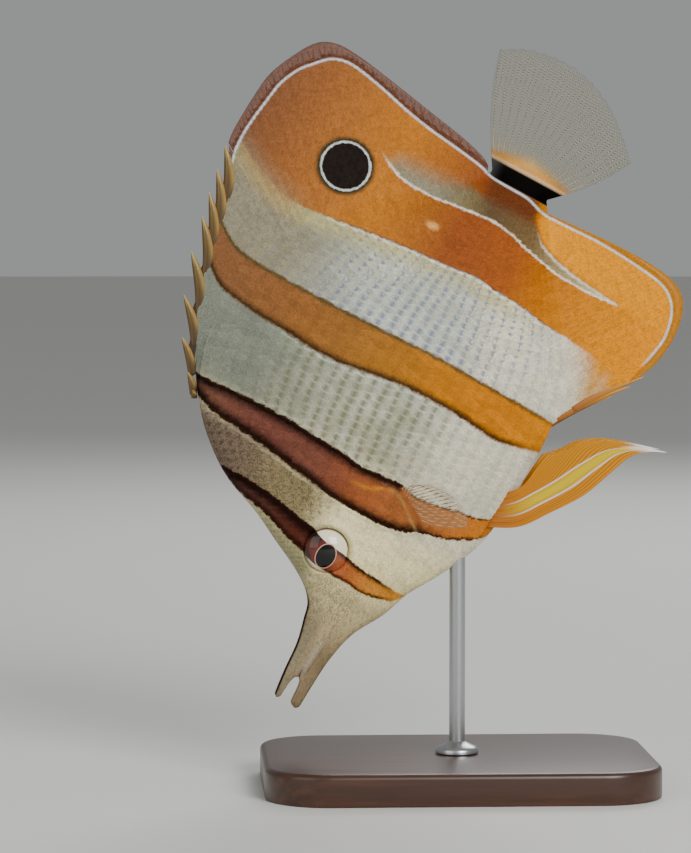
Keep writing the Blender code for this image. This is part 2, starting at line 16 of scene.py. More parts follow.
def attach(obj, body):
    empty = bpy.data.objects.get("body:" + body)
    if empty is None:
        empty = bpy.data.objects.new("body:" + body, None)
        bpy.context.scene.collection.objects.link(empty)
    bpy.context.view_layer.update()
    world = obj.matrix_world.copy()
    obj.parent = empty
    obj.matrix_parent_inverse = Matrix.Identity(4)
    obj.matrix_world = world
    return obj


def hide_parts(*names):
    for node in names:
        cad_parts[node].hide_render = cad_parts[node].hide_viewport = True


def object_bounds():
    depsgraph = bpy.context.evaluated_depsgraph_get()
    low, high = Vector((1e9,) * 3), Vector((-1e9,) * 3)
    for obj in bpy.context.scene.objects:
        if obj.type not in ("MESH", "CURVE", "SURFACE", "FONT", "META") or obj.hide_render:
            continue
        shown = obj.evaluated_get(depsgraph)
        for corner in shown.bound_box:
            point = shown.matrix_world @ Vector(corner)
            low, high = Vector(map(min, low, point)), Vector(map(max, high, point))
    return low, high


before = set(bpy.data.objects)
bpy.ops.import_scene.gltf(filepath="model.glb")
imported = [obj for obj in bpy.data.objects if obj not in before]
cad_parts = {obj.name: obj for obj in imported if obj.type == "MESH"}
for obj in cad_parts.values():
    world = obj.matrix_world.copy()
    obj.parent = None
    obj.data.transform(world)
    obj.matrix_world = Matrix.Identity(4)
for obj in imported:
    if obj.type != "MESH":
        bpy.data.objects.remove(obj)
cad_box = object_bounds()
scene = bpy.context.scene
MM = 0.001


# The studio: a pale matt floor, a pale room and three soft lamps, with the camera level with the fish's
# side. The camera stands far off behind a long lens, so that the fish is seen as flat as in the photo.
VIEW_HEIGHT = 0.21325
CAMERA_AWAY = 0.9
CAMERA_AIM = Vector((-0.0281, 0, 0.0904))
CAMERA_TURN, CAMERA_RISE = math.radians(-3), math.radians(3)
SENSOR = 36
FLOOR_RADIUS = 12
ROOM_LIGHT = 0.4
LAMPS = (
    ("key lamp", (0.42, -0.95, 0.6), 0.5, 13.0),
    ("fill lamp", (-0.8, -0.7, 0.5), 0.8, 3.0),
    ("back lamp", (0.3, 0.9, 0.8), 0.6, 6.0),
)


def linear(code):
    """A colour written as sRGB hex, as the shaders take it."""
    channels = [int(code[i:i + 2], 16) / 255 for i in (1, 3, 5)]
    return (*[c / 12.92 if c <= 0.04045 else ((c + 0.055) / 1.055) ** 2.4 for c in channels], 1.0)


def fill(node, values):
    """Fills sockets, named or in their order, with numbers, hex colours or the outputs of other nodes."""
    for name, value in values.items() if isinstance(values, dict) else enumerate(values):
        if isinstance(value, bpy.types.NodeSocket):
            node.id_data.links.new(value, node.inputs[name])
        else:
            node.inputs[name].default_value = linear(value) if isinstance(value, str) else value


def new_material(name, roughness):
    """A material and its shader; add() builds in the newest material."""
    global tree
    material = bpy.data.materials.new(name)
    material.use_nodes = True
    tree = material.node_tree
    shader = tree.nodes["Principled BSDF"]
    fill(shader, {"Roughness": roughness})
    return material, shader


def add(kind, values=(), out=0, **settings):
    """Adds a shader node, fills its sockets and gives one of its outputs."""
    made = tree.nodes.new("ShaderNode" + kind)
    for name, value in settings.items():
        setattr(made, name, value)
    fill(made, values)
    return made.outputs[out]


def new_object(name, data):
    obj = bpy.data.objects.new(name, data)
    scene.collection.objects.link(obj)
    return obj


def aim(obj, place, target):
    obj.location = place
    obj.rotation_euler = (Vector(target) - Vector(place)).to_track_quat("-Z", "Y").to_euler()


def new_mesh(name, bm):
    mesh = bpy.data.meshes.new(name)
    bm.to_mesh(mesh)
    bm.free()
    return mesh


camera = new_object("camera", bpy.data.cameras.new("camera"))
flat = math.cos(CAMERA_RISE)
toward_camera = Vector((math.sin(CAMERA_TURN) * flat, -math.cos(CAMERA_TURN) * flat, math.sin(CAMERA_RISE)))
aim(camera, CAMERA_AIM + toward_camera * CAMERA_AWAY, CAMERA_AIM)
camera.data.sensor_width = SENSOR
camera.data.lens = SENSOR * CAMERA_AWAY / VIEW_HEIGHT
scene.camera = camera

for name, place, size, watts in LAMPS:
    lamp = bpy.data.lights.new(name, "AREA")
    lamp.size = size
    lamp.energy = watts
    aim(new_object(name, lamp), place, CAMERA_AIM)

room = bpy.data.worlds.new("pale room")
room.use_nodes = True
fill(room.node_tree.nodes["Background"], {"Color": "#E4E6E6", "Strength": ROOM_LIGHT})
scene.world = room

# Matt floor paint, rolled on: a pale ground that throws back no lamp.
floor_paint, shader = new_material("matt pale floor paint", 0.85)
fill(shader, {"Base Color": "#D9D9D4"})
bm = bmesh.new()
bmesh.ops.create_circle(bm, cap_ends=True, segments=96, radius=FLOOR_RADIUS)
floor = new_object("floor", new_mesh("floor", bm))
floor.data.materials.append(floor_paint)


# The skin: one closed sheet from the lips to the root of the tail fin, with the scaly parts of the back
# and anal fins in it. Its two sides are drawn as one flat sheet, and each is then pushed out by half of
# the fish's thickness there, less the depth of the scales.
BODY_LENGTH = 141.7
HEAD_DOWN = math.radians(62)
TAIL_ROOT = (16.0, 151.25)
SCALE_DEPTH = 0.2
SKIN_END = 140.5
MOUTH_CORNER = (6.3, -8.6)
EYE_PLACE = (38.2, 0.5)
EYE_RADIUS = 5.8
NOSTRILS = ((30.4, 1.1, 0.6), (28.7, 0.2, 0.42))
DORSAL_START, DORSAL_SPLIT, DORSAL_END = 55.5, 101.3, 139.4
ANAL_START, ANAL_END = 92.5, 137.6
DORSAL_RAYS, ANAL_RAYS, TAIL_RAYS = 28, 19, 17

# Heights, half widths and roundness of the body, each by its length.
BACK = [
    (-1.2, -5.4), (6, -4.7), (14, -4.2), (20, -2.9), (24, -1.8), (27, 0.7), (30, 5), (34, 12.7), (38, 20.3),
    (42, 30), (48, 38.5), (55, 45), (66, 50.2), (80, 52), (92, 50.5), (104, 45), (118, 33.5), (130, 19),
    (136, 11), (140.5, 8),
]
BELLY = [
    (-1.2, -12.4), (6, -12.8), (14, -13.6), (22, -15.7), (30, -20.2), (38, -23.4), (44, -27.2), (56, -33),
    (66, -34.9), (80, -35.5), (92, -35.2), (104, -32), (116, -25), (128, -15.5), (140.5, -7.6),
]
HALF_WIDTH = [
    (-1.2, 0.5), (0.5, 1.1), (4, 1.6), (8, 1.9), (14, 2.4), (20, 3.2), (26, 4.6), (32, 6.2), (38, 7.4),
    (46, 8.9), (56, 10.1), (68, 10.6), (80, 10.2), (95, 8.6), (110, 6.6), (122, 5.0), (132, 3.7),
    (140.5, 2.9),
]
WIDEST_LEVEL = [
    (-1.2, -9), (14, -9), (22, -8), (30, -5), (38, -1), (50, 2), (70, 6), (100, 5), (120, 3), (140.5, 0.2),
]
LENS = [(-1.2, 0.9), (30, 1.0), (60, 1.3), (110, 1.3), (140.5, 1.1)]
BACK_EDGE = [(-1.2, 0.3), (40, 0.5), (52, 1.2), (60, 1.8), (100, 1.9), (130, 1.5), (140.5, 1.0)]
BELLY_EDGE = [(-1.2, 0.3), (40, 0.6), (60, 0.9), (88, 1.0), (96, 1.6), (130, 1.4), (140.5, 1.0)]

# Outlines on the side, as lengths and heights.
GILL_EDGE = [
    (53.4, 14), (56, 9), (58.6, 3), (59.9, -3), (59.6, -8), (56.6, -13), (52, -17.4), (46.5, -22),
    (41, -26.6),
]
CHEEK_EDGE = [(50, 12.2), (47.3, 8), (46, 0), (44.6, -9), (43.4, -17), (46.4, -21.6)]
SHEATH = [
    (58, 47.4), (62, 49.8), (67, 52.4), (74, 56), (80, 58), (86, 60), (93, 61.9), (100, 63.1), (106, 64.4),
    (111, 66.2), (115.6, 69),
]
DORSAL_MARGIN = [
    (116, 69.3), (120, 69.7), (130, 69.1), (136, 68.2), (142, 65.6), (148, 61.8), (150.4, 57), (150.2, 50),
    (148.6, 40), (146.6, 29), (144.6, 18), (142.8, 11.6), (141.4, 9.4),
]
ANAL_MARGIN = [
    (107, -45.4), (112, -48.7), (118, -51.2), (125, -52.1), (131, -51.3), (135.5, -49), (138, -44.6),
    (139, -38), (139.1, -30), (138.7, -22), (138.2, -14), (137.9, -10),
]
TAIL_MARGIN = [
    (159, -21.9), (162.4, -18.4), (166, -14.4), (169.4, -9.6), (171.9, -4), (173.2, 2), (173.1, 8),
    (171.6, 14.6), (168.5, 20.5),
]

# The pale blue line inside the margins of the fins and across the tail stalk. It starts and ends outside
# the fish, so that all that lies on its right is inside it.
RIM_LINE = [
    (20, 64), (74, 68), (94, 68.6), (104, 66.8), (110, 65.9), (115, 66.8), (120, 67), (125, 66.5),
    (130, 65.7), (135, 64.8), (140, 62.5), (143, 60), (146, 57), (147.3, 54), (147.5, 50), (146, 42),
    (144, 34), (142.5, 26), (141.5, 18), (140.4, 11), (139.2, 7), (138.9, 2), (138.7, -3), (137.4, -7.5),
    (137.2, -12), (137.6, -24), (137.2, -32), (136.6, -38), (136, -42), (134.8, -45), (132.5, -47.5),
    (130, -48.8), (127, -49.6), (124, -49.9), (121, -49.5), (118, -48.9), (115, -48), (110, -46.8),
    (102, -46), (20, -50),
]


def curve(points):
    """The height at any length on a smooth line through the points."""
    places, heights = np.array(points, float).T
    steps = np.diff(heights) / np.diff(places)
    slopes = np.concatenate(([steps[0]], (steps[:-1] + steps[1:]) / 2, [steps[-1]]))

    def height(place):
        place = np.clip(place, places[0], places[-1])
        i = np.clip(np.searchsorted(places, place, side="right") - 1, 0, len(places) - 2)
        wide = places[i + 1] - places[i]
        t = (place - places[i]) / wide
        start = heights[i] * (1 + 2 * t) * (1 - t) ** 2 + slopes[i] * wide * t * (1 - t) ** 2
        end = heights[i + 1] * t * t * (3 - 2 * t) - slopes[i + 1] * wide * t * t * (1 - t)
        return start + end

    return height


def path(points, steps=12):
    """Points on a smooth line through the given ones, by their share of its whole length."""
    knots = np.array(points, float)
    knots = np.concatenate(([2 * knots[0] - knots[1]], knots, [2 * knots[-1] - knots[-2]]))
    line = [knots[1]]
    for a, b, c, d in zip(knots, knots[1:], knots[2:], knots[3:]):
        for t in np.arange(1, steps + 1) / steps:
            bend = (2 * a - 5 * b + 4 * c - d) * t * t + (3 * b - a - 3 * c + d) * t ** 3
            line.append(b + ((c - a) * t + bend) / 2)
    line = np.array(line)
    far = np.concatenate(([0], np.cumsum(np.linalg.norm(np.diff(line, axis=0), axis=1))))

    def place(share):
        length = np.clip(share, 0, 1) * far[-1]
        return np.stack([np.interp(length, far, column) for column in line.T], axis=-1)

    return place


def soft_step(low, high, value):
    t = np.clip((value - low) / (high - low), 0, 1)
    return t * t * (3 - 2 * t)


def swell(value, middle, width):
    """A soft round rise of a value about its middle, 1 at its top."""
    return np.exp(-((value - middle) / width) ** 2)


def beside(line, x, z):
    """How far a point is from a line: above zero on its left side as it is drawn."""
    best, found = np.full(np.shape(x), 1e9), np.zeros(np.shape(x))
    for (ax, az), (bx, bz) in zip(line[:-1], line[1:]):
        along, up = bx - ax, bz - az
        share = np.clip(((x - ax) * along + (z - az) * up) / (along ** 2 + up ** 2), 0, 1)
        away = np.hypot(x - ax - along * share, z - az - up * share)
        left = (along * (z - az) - up * (x - ax)) / math.hypot(along, up)
        score = away - 1e-6 * np.abs(left)
        found = np.where(score < best, np.copysign(away, left), found)
        best = np.minimum(best, score)
    return found


def to_world(points):
    """Turns points of the fish's frame head down, in metres."""
    x, y, z = np.asarray(points, float).T
    across = (x - BODY_LENGTH) * math.cos(HEAD_DOWN) - z * math.sin(HEAD_DOWN) + TAIL_ROOT[0]
    up = (x - BODY_LENGTH) * math.sin(HEAD_DOWN) + z * math.cos(HEAD_DOWN) + TAIL_ROOT[1]
    return np.stack([across, y, up], axis=-1) * MM


back, belly, half_width, widest_level, lens, back_edge, belly_edge = (
    curve(points) for points in (BACK, BELLY, HALF_WIDTH, WIDEST_LEVEL, LENS, BACK_EDGE, BELLY_EDGE)
)
gill_edge, cheek_edge, rim_line = (
    path(points)(np.linspace(0, 1, count))
    for points, count in ((GILL_EDGE, 60), (CHEEK_EDGE, 40), (RIM_LINE, 260))
)


def rim(x, z):
    """How far a point lies inside the pale line of the fins."""
    return -beside(rim_line, x, z)


def two_jaws(x, z, across):
    """How thick the parted jaws are, from their round backs to the lips along the gape."""
    level = MOUTH_CORNER[1]
    low, high = np.where(z > level, level, belly(x)), np.where(z > level, back(x), level)
    rise = np.clip((2 * z - low - high) / (high - low), -1, 1)
    return 0.3 + (across - 0.3) * np.sqrt(1 - rise ** 4)


def half_depth(x, z):
    """Half of the body's thickness at a point of its side, before the scales."""
    level = widest_level(x)
    above = z > level
    edge = np.where(above, back_edge(x), belly_edge(x))
    reach = np.where(above, back(x), belly(x)) - level
    rise = np.clip(np.abs((z - level) / reach), 0, 1)
    across = half_width(x)
    round_side = np.sqrt(1 - rise ** 2) ** lens(x)
    fin_foot = soft_step(54, 64, x) * above + soft_step(90, 98, x) * ~above
    sloped = (1 - rise ** 2) ** 1.05
    share = round_side + (sloped - round_side) * fin_foot * soft_step(0.55, 0.95, rise)
    body = edge + (across - edge) * share
    jaws = two_jaws(x, z, across)
    return jaws + (body - jaws) * soft_step(MOUTH_CORNER[0], 10, x)


def relief(x, z):
    """What bones and folds of the head raise or sink in the skin."""
    from_eye = np.hypot(x - EYE_PLACE[0], z - EYE_PLACE[1])
    socket = soft_step(EYE_RADIUS + 0.15, EYE_RADIUS - 0.75, from_eye)
    high = 0.32 * swell(from_eye, 6.5, 0.55) - 3.2 * socket
    cover = -beside(gill_edge, x, z)
    plate_edge = soft_step(-0.25, 0.3, cover) * np.exp(-np.maximum(cover, 0) / 5.0)
    high += (0.42 * plate_edge - 0.2 * swell(cover, -0.5, 0.45)) * (z < 15)
    cheek = -beside(cheek_edge, x, z)
    high += 0.12 * swell(cheek, 0.5, 0.5) - 0.1 * swell(cheek, -0.3, 0.35)
    for along, up, radius in NOSTRILS:
        away = np.hypot(x - along, z - up) / radius
        high += 0.16 * swell(away, 1.3, 0.45) - 0.7 * np.exp(-(away / 0.75) ** 4)
    fold = z + 9.75 + 0.04 * (x - MOUTH_CORNER[0])
    lip, groove = swell(fold, -0.7, 0.5) * soft_step(22, 10, x), swell(fold, 0, 0.22) * soft_step(22, 12, x)
    high += (0.1 * lip - 0.22 * groove) * (x > MOUTH_CORNER[0])
    high -= 0.25 * swell(np.hypot(x - 18.2, z + 9.2), 0, 0.3)
    high -= 0.35 * swell(np.hypot((x - 29.5) / 2.6, (z + 4.2) / 2.0), 0, 1)
    waves = np.sin(x * 0.9 + 0.7 * z) * np.sin(z * 0.8 - 0.3 * x)
    return high + 0.05 * waves * soft_step(44, 36, x) * soft_step(8, 20, x)


def fin_ridges(share, rays):
    """The fin's rays as low round ridges, by the share of its root."""
    return 0.1 * np.abs(np.cos(share * rays * math.pi)) ** 1.5


skin = bmesh.new()
depth_layer = skin.verts.layers.float.new("depth")


def grid_shares(verts):
    """How far across and up a new grid each of its points lies."""
    return np.array([vert.co[:2] for vert in verts]).T + 0.5


def lay(columns, rows, place):
    """Lays a grid whose point at each column and row is place(column, row): its length, height and depth."""
    wide, high = len(columns) - 1, len(rows) - 1
    grid = bmesh.ops.create_grid(skin, x_segments=wide, y_segments=high, size=0.5)["verts"]
    across, up = grid_shares(grid)
    s, t = columns[np.rint(across * wide).astype(int)], rows[np.rint(up * high).astype(int)]
    for vert, along, up, half in zip(grid, *place(s, t)):
        vert.co = (along, 0, up)
        vert[depth_layer] = half


def stretch(*runs):
    """Places along the fish, evenly spaced in each run of (start, end, step)."""
    parts = [np.linspace(a, b, round((b - a) / step), endpoint=False) for a, b, step in runs]
    return np.append(np.concatenate(parts), runs[-1][1])


def body_height(x, t):
    """The rows of the body, closer at its edges; near the mouth they part above and below the gape."""
    level, rise = widest_level(x), np.sin((t - 0.5) * math.pi)
    round_rows = level + np.where(rise > 0, back(x) - level, level - belly(x)) * rise
    gape = MOUTH_CORNER[1]
    lower = belly(x) + (gape - belly(x)) * (1 - np.cos(np.clip(t * 2, 0, 1) * math.pi)) / 2
    upper = gape + (back(x) - gape) * (1 - np.cos(np.clip(t * 2 - 1, 0, 1) * math.pi)) / 2
    jaw_rows = np.where(t < 0.5, lower, upper)
    return jaw_rows + (round_rows - jaw_rows) * soft_step(MOUTH_CORNER[0], 15, x)


def body_place(x, t):
    z = body_height(x, t)
    return x, z, half_depth(x, z) + relief(x, z) - SCALE_DEPTH


BODY_ROWS = np.linspace(0, 1, 85)
body_columns = stretch(
    (MOUTH_CORNER[0], 26, 0.6), (26, DORSAL_START, 0.5), (DORSAL_START, 62, 0.5), (62, ANAL_START, 0.9),
    (ANAL_START, DORSAL_SPLIT, 0.9), (DORSAL_SPLIT, ANAL_END, 0.68), (ANAL_END, DORSAL_END, 0.6),
    (DORSAL_END, SKIN_END, 0.55),
)
lay(body_columns, BODY_ROWS, body_place)


def jaw_place(upper):
    """One jaw, from its rounded tip to the corner of the mouth."""
    tip = -0.8 if upper else -1.1
    corner, level = MOUTH_CORNER

    def place(s, t):
        x = tip + (corner - tip) * s
        gape = np.sqrt(np.clip(1 - np.clip(x / corner, 0, 1) ** 4, 0, 1))
        if upper:
            low, high = level + 1.3 * gape + 0.3 * (1 - x / corner) * gape, back(x)
        else:
            low, high = belly(x), level - 1.1 * gape - 0.9 * np.exp(-(x - tip) / 0.5)
        blunt = np.sqrt(np.clip(1 - np.clip(1 - (x - tip) / 1.3, 0, 1) ** 2, 0, 1)) * 0.9 + 0.1
        half = (1 - np.cos(t * math.pi)) / 2 - 0.5
        z = (low + high) / 2 + (high - low) * half * blunt
        lip = 1 - t if upper else t
        thick = 0.3 + (half_width(x) - 0.3) * np.sqrt(1 - (2 * half) ** 4)
        bead = (0.16 * swell(lip, 0.84, 0.1) - 0.1 * swell(lip, 0.66, 0.07)) * (1 - swell(x, corner, 1.5))
        return x, z, (thick + bead) * (0.45 + 0.55 * blunt) - SCALE_DEPTH * (1 - blunt * 0.5)

    return place


for upper in (False, True):
    lay(np.linspace(0, 1, 16), np.linspace(0, 1, len(BODY_ROWS) // 2 + 1), jaw_place(upper))


def fin_place(start, end, foot, margin, edge, rays, tip=0.2):
    """A fin's point by the length of its root and its share of the way out to the margin."""

    def place(x, t):
        s = (x - start) / (end - start)
        out = margin(s)
        along, up = x + (out[:, 0] - x) * t, foot(x) + (out[:, 1] - foot(x)) * t
        depth = edge(x) + (tip - edge(x)) * t ** 0.6
        if rays:
            depth = depth + (fin_ridges(s, rays) * soft_step(0, 0.04, s) - 0.05) * soft_step(0, 0.2, t)
        return along, up, depth - SCALE_DEPTH * (1 - t)

    return place


spiny_place = fin_place(DORSAL_START, DORSAL_SPLIT, back, path(SHEATH), back_edge, 0, 0.25)
soft_place = fin_place(DORSAL_SPLIT, DORSAL_END, back, path(DORSAL_MARGIN), back_edge, DORSAL_RAYS)
anal_place = fin_place(ANAL_START, ANAL_END, belly, path(ANAL_MARGIN), belly_edge, ANAL_RAYS)
for start, end, rows, place in (
    (DORSAL_START, DORSAL_SPLIT, 13, spiny_place),
    (DORSAL_SPLIT, DORSAL_END, 33, soft_place),
    (ANAL_START, ANAL_END, 23, anal_place),
):
    columns = body_columns[(body_columns > start - 0.01) & (body_columns < end + 0.01)]
    lay(columns, np.linspace(0, 1, rows), place)


# The scaly root of the tail fin, which the skin runs on to: it thins from the stalk out along the rays.
TAIL_FOOT = SKIN_END + 0.1
SCALY_TAIL = 0.3
THIN_SKIN = 0.2
tail_margin = path(TAIL_MARGIN)
tail_low, tail_high = belly(TAIL_FOOT) + 0.3, back(TAIL_FOOT) - 0.3


def tail_point(s, t):
    """A point of the tail fin, by its share of the fan and of the way out."""
    out = tail_margin(s)
    foot = tail_low + (tail_high - tail_low) * s
    along = TAIL_FOOT + (out[..., 0] - TAIL_FOOT) * t
    return along, foot + (out[..., 1] - foot) * t + (s - 0.5) * 3.2 * np.sin(math.pi * t)


def tail_root_place(t, row):
    end = np.full_like(row, SKIN_END)
    _, level, root = body_place(end, row)
    along, up = tail_point(np.clip((level - tail_low) / (tail_high - tail_low), 0, 1), t)
    start = np.clip(1 - t / 0.02, 0, 1)
    along, up = along + (end - along) * start, up + (level - up) * start
    return along, up, (root - THIN_SKIN) * (1 - t / SCALY_TAIL) ** 1.3 + THIN_SKIN


lay(np.linspace(0, SCALY_TAIL, 16), BODY_ROWS, tail_root_place)
bmesh.ops.remove_doubles(skin, verts=skin.verts[:], dist=0.02)


def keep_places(mesh, places):
    """Stores each point's length, distance inside the pale line, height, and depth below the back's edge."""
    x, z = places[:, 0], places[:, 2]
    values = np.stack([x, rim(x, z), z], axis=-1)
    mesh.attributes.new("place", "FLOAT_VECTOR", "POINT").data.foreach_set("vector", values.ravel())
    mesh.attributes.new("crest", "FLOAT", "POINT").data.foreach_set("value", back(x) - z)


def piece(name, mesh, material, slot, *nodes):
    """Puts a finished mesh in the scene, in the place of the solids that it stands for."""
    mesh.materials.append(material)
    obj = new_object(name, mesh)
    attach(obj, "root")
    if nodes:
        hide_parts(*nodes)


def write(name, bm, material, slot, *nodes):
    """Makes a piece of a mesh drawn in the fish's frame: turned, in metres."""
    bmesh.ops.recalc_face_normals(bm, faces=bm.faces[:])
    places = np.array([vert.co[:] for vert in bm.verts])
    for vert, place in zip(bm.verts, to_world(places)):
        vert.co = place
    mesh = new_mesh(name, bm)
    mesh.shade_smooth()
    keep_places(mesh, places)
    piece(name, mesh, material, slot, *nodes)


def second_side(bm, faces):
    """Doubles a sheet's faces with walls between, and gives the points of the new side."""
    made = bmesh.ops.extrude_face_region(bm, geom=faces)["geom"]
    return [part for part in made if isinstance(part, bmesh.types.BMVert)]


far_side = set(second_side(skin, skin.faces[:]))
for vert in skin.verts:
    vert.co.y = vert[depth_layer] * (1 if vert in far_side else -1)
bmesh.ops.recalc_face_normals(skin, faces=skin.faces[:])
skin_surface = BVHTree.FromBMesh(skin)


# The markings: four orange to rust bars edged with black or white on a silver and cream ground, an eye
# spot on the back fin, a pale blue line inside the fins' margins and a black bar across the tail's root.
# In life they lie in the skin under each scale, so that skin and scales here share them. Among them are
# painted highlights: a sheen on the snout, a line along the gill cover's ridge and a glint on the rust bar.
# Each point's length, distance inside the pale line and height are kept as the attribute "place".
LOWEST, HIGHEST = -70, 80
LONGEST = 180
EYE_SPOT, EYE_SPOT_SIZE = (124.6, 40.8), (5.45, 5.6)
# GLINT is a painted highlight: a pale oval where light catches the rust bar on the side.
GLINT, GLINT_SIZE = (121.6, 15.0), (1 / 0.6, 1 / 0.35)

# The bars' edges, and the line of a painted highlight along the gill cover's ridge that runs on
# down the pectoral fin's tan root, as heights and lengths.
BAR_1_LEFT = [
    (-23, 37.5), (-20, 34.2), (-18, 33.5), (-15, 32.8), (-12, 32.5), (-8, 33), (-2, 33.2), (4, 34.2),
    (6, 35.2), (10, 36.2), (14, 37.6), (18, 39), (22, 39.9), (26, 40.6), (30, 42.2), (36, 46),
]
BAR_1_RIGHT = [
    (-23, 37), (-20, 36.8), (-15, 37.3), (-10, 37.8), (-7, 38.3), (-4, 39.1), (2, 39.9), (6, 41.3),
    (10, 42.1), (14, 43), (18, 43.8), (22, 44.3), (26, 44.6), (30, 44.6), (36, 44),
]
BAR_2_LEFT = [
    (-45, 70), (-34.5, 60.5), (-32, 58), (-28, 55.9), (-24, 54.1), (-20, 53.2), (-17, 52.5), (-14, 51),
    (-8, 50), (0, 50), (4, 50.2), (8, 50.6), (12, 51.5), (16, 52), (24, 53.4), (35, 54.8), (40, 55.2),
    (45, 56.5), (50, 59),
]
BAR_2_RIGHT = [
    (-45, 75), (-34.5, 66), (-32, 63.8), (-28, 62.3), (-24, 61.9), (-20, 60.9), (-16, 60.4), (-12, 60.3),
    (-8, 61.2), (-4, 61), (4, 60.6), (8, 61.3), (16, 61.8), (24, 62.4), (40, 62.2), (45, 61.8), (50, 62),
]
BAR_3_LEFT = [
    (-36, 84.2), (-32, 83.2), (-28, 82.3), (-24, 81.7), (-20, 81.9), (-12, 82.8), (-4, 83), (4, 82.8),
    (8, 82.3), (12, 81.7), (20, 80.6), (28, 80.6), (35, 81.2), (45, 81.8), (50, 82.5), (55, 84), (60, 88),
]
BAR_3_RIGHT = [
    (-36, 92.2), (-20, 92.8), (-12, 93), (0, 93.3), (12, 93), (35, 92.7), (50, 93.3), (55, 94.2), (60, 97),
]
BAR_4_LEFT = [
    (-60, 106), (-44, 110.5), (-30, 112.5), (-22, 113), (-14, 114.2), (-6, 114.7), (0, 115.3), (4, 114.8),
    (8, 114.4), (16, 113.9), (24, 113.2), (32, 112.3), (40, 111.3), (46, 110.8), (53, 111.8), (60, 114.5),
    (68, 118.5),
]
SADDLE_LEFT = [
    (-36, 125.9), (-26, 125.2), (-22, 125.3), (-18, 125.5), (-14, 126.3), (-10, 127), (-4, 128.6),
    (2, 129.5), (6, 129.2), (13, 128.5), (17, 128), (20, 127.9), (24, 128), (28, 128.7), (33, 131),
]
SADDLE_RIGHT = [
    (-36, 126), (-30, 126.6), (-22, 127.5), (-18, 128.3), (-14, 129.5), (-11, 131), (-8, 134), (-4, 136),
    (4, 136), (8, 134.4), (10, 135.5), (14, 136), (26, 136), (30, 135.5), (33, 133.2),
]
GILL_HIGHLIGHT_AND_FIN_ROOT = [(-18, 52), (-13, 55.3), (-9, 58.2), (-5.5, 58.6), (-2, 56.9), (2, 56.3), (8, 56.6)]

# The first three bars: edges, softness, tints by height, pale lines beside them (side, tint and the heights
# where they fade in), and dark rims inside them (side, width, tint and the heights where they fade in).
BARS = (
    (BAR_1_LEFT, BAR_1_RIGHT, 0.3,
     {-22: "#C98C46", -14: "#CA8A46", -8: "#B66E42", -2: "#A25A42", 3: "#5E3228", 10: "#562E24",
      17: "#5E362C", 24: "#643E34", 32: "#6A4638"},
     (),
     (("left", 1.5, "#1E1410", 0, 5), ("right", 3.0, "#120C0A", 0, 5), ("left", 0.9, "#3A1C10", -22, -16),
      ("right", 1.2, "#24120E", -22, -14))),
    (BAR_2_LEFT, BAR_2_RIGHT, 0.3,
     {-45: "#DC8C14", -32: "#C07838", -22: "#B26E40", -12: "#AA6A40", 0: "#9A5A3A", 7: "#824C38",
      13: "#724638", 30: "#6C4238", 45: "#744C3C"},
     (("left", "#C4B996", -26, -16), ("right", "#BDBFA8", -16, -6)),
     (("left", 2.4, "#130D0B", -26, -14), ("right", 2.4, "#130D0B", -9.5, -7.5),
      ("left", 0.9, "#2E1A10", -35, -30), ("right", 0.6, "#2E1A10", -35, -31))),
    (BAR_3_LEFT, BAR_3_RIGHT, 0.5,
     {-34: "#CC7E10", -22: "#C2761C", -6: "#B6742C", 8: "#A26C30", 20: "#946434",
      40: "#8A5C38", 58: "#80583C"},
     (("left", "#D3D6CC", -34, -16),),
     (("left", 1.6, "#3C2A18", -40, -26), ("right", 1.0, "#4C4428", -40, -30))),
)


def kept(name):
    """What each point keeps under a name: three numbers together, and each by itself."""
    whole = add("Attribute", out="Vector", attribute_name=name)
    return whole, *add("SeparateXYZ", (whole,)).node.outputs


def fade(value, low, high):
    """A share that rises smoothly from 0 where a value is low to 1 where it is high."""
    return add("MapRange", (value, low, high), interpolation_type="SMOOTHSTEP")


def both(*shares):
    """Where all of the shares hold; a share may be written as what fade() takes."""
    shares = [fade(*share) if isinstance(share, tuple) else share for share in shares]
    made = shares[0]
    for share in shares[1:]:
        made = add("Math", (made, share), operation="MULTIPLY")
    return made


def rest_of(share):
    """Where a share doesn't hold."""
    return add("Math", (1.0, share), operation="SUBTRACT")


def paint(under, *layers):
    """Lays colours over one in turn; a layer is a colour and the shares that it is laid on by."""
    for over, *shares in layers:
        under = add("Mix", {0: both(*shares), 6: under, 7: over}, 2, data_type="RGBA")
    return under


def stripe(value, middle, half, soft=0.25):
    """A line where a value is near its middle."""
    away = add("Math", (value, middle), operation="SUBTRACT")
    away = add("Math", (away,), operation="ABSOLUTE")
    return fade(away, half + soft, half - soft)


def tints(share, stops, low=LOWEST, high=HIGHEST):
    """A run of colours along a share that stands for the lengths or heights of the stops."""
    node = add("ValToRGB", (share,)).node
    for number, (place, code) in enumerate(stops.items()):
        elements = node.color_ramp.elements
        element = elements[number] if number < 2 else elements.new(1)
        element.position = (place - low) / (high - low)
        element.color = linear(code)
    return node.outputs[0]


def past_edge(along, level, edge):
    """How far behind a bar's edge a point lies; the edge is a list of heights and lengths."""
    node = add("FloatCurve", {"Value": level}).node
    line = node.mapping.curves[0]
    while len(line.points) < len(edge):
        line.points.new(0.5, 0.5)
    for point, (height, length) in zip(line.points, edge):
        point.location = ((height - LOWEST) / (HIGHEST - LOWEST), length / LONGEST)
    node.mapping.use_clip = False
    node.mapping.update()
    return add("Math", (node.outputs[0], -LONGEST, along), operation="MULTIPLY_ADD")


def from_point(place, centre, size):
    """How far a point lies from a centre, as a share of an oval's half length and half height."""
    away = add("VectorMath", (place, (-centre[0], 0, -centre[1])), operation="ADD")
    away = add("VectorMath", (away, (1 / size[0], 0, 1 / size[1])), operation="MULTIPLY")
    return add("VectorMath", (away,), "Value", operation="LENGTH")


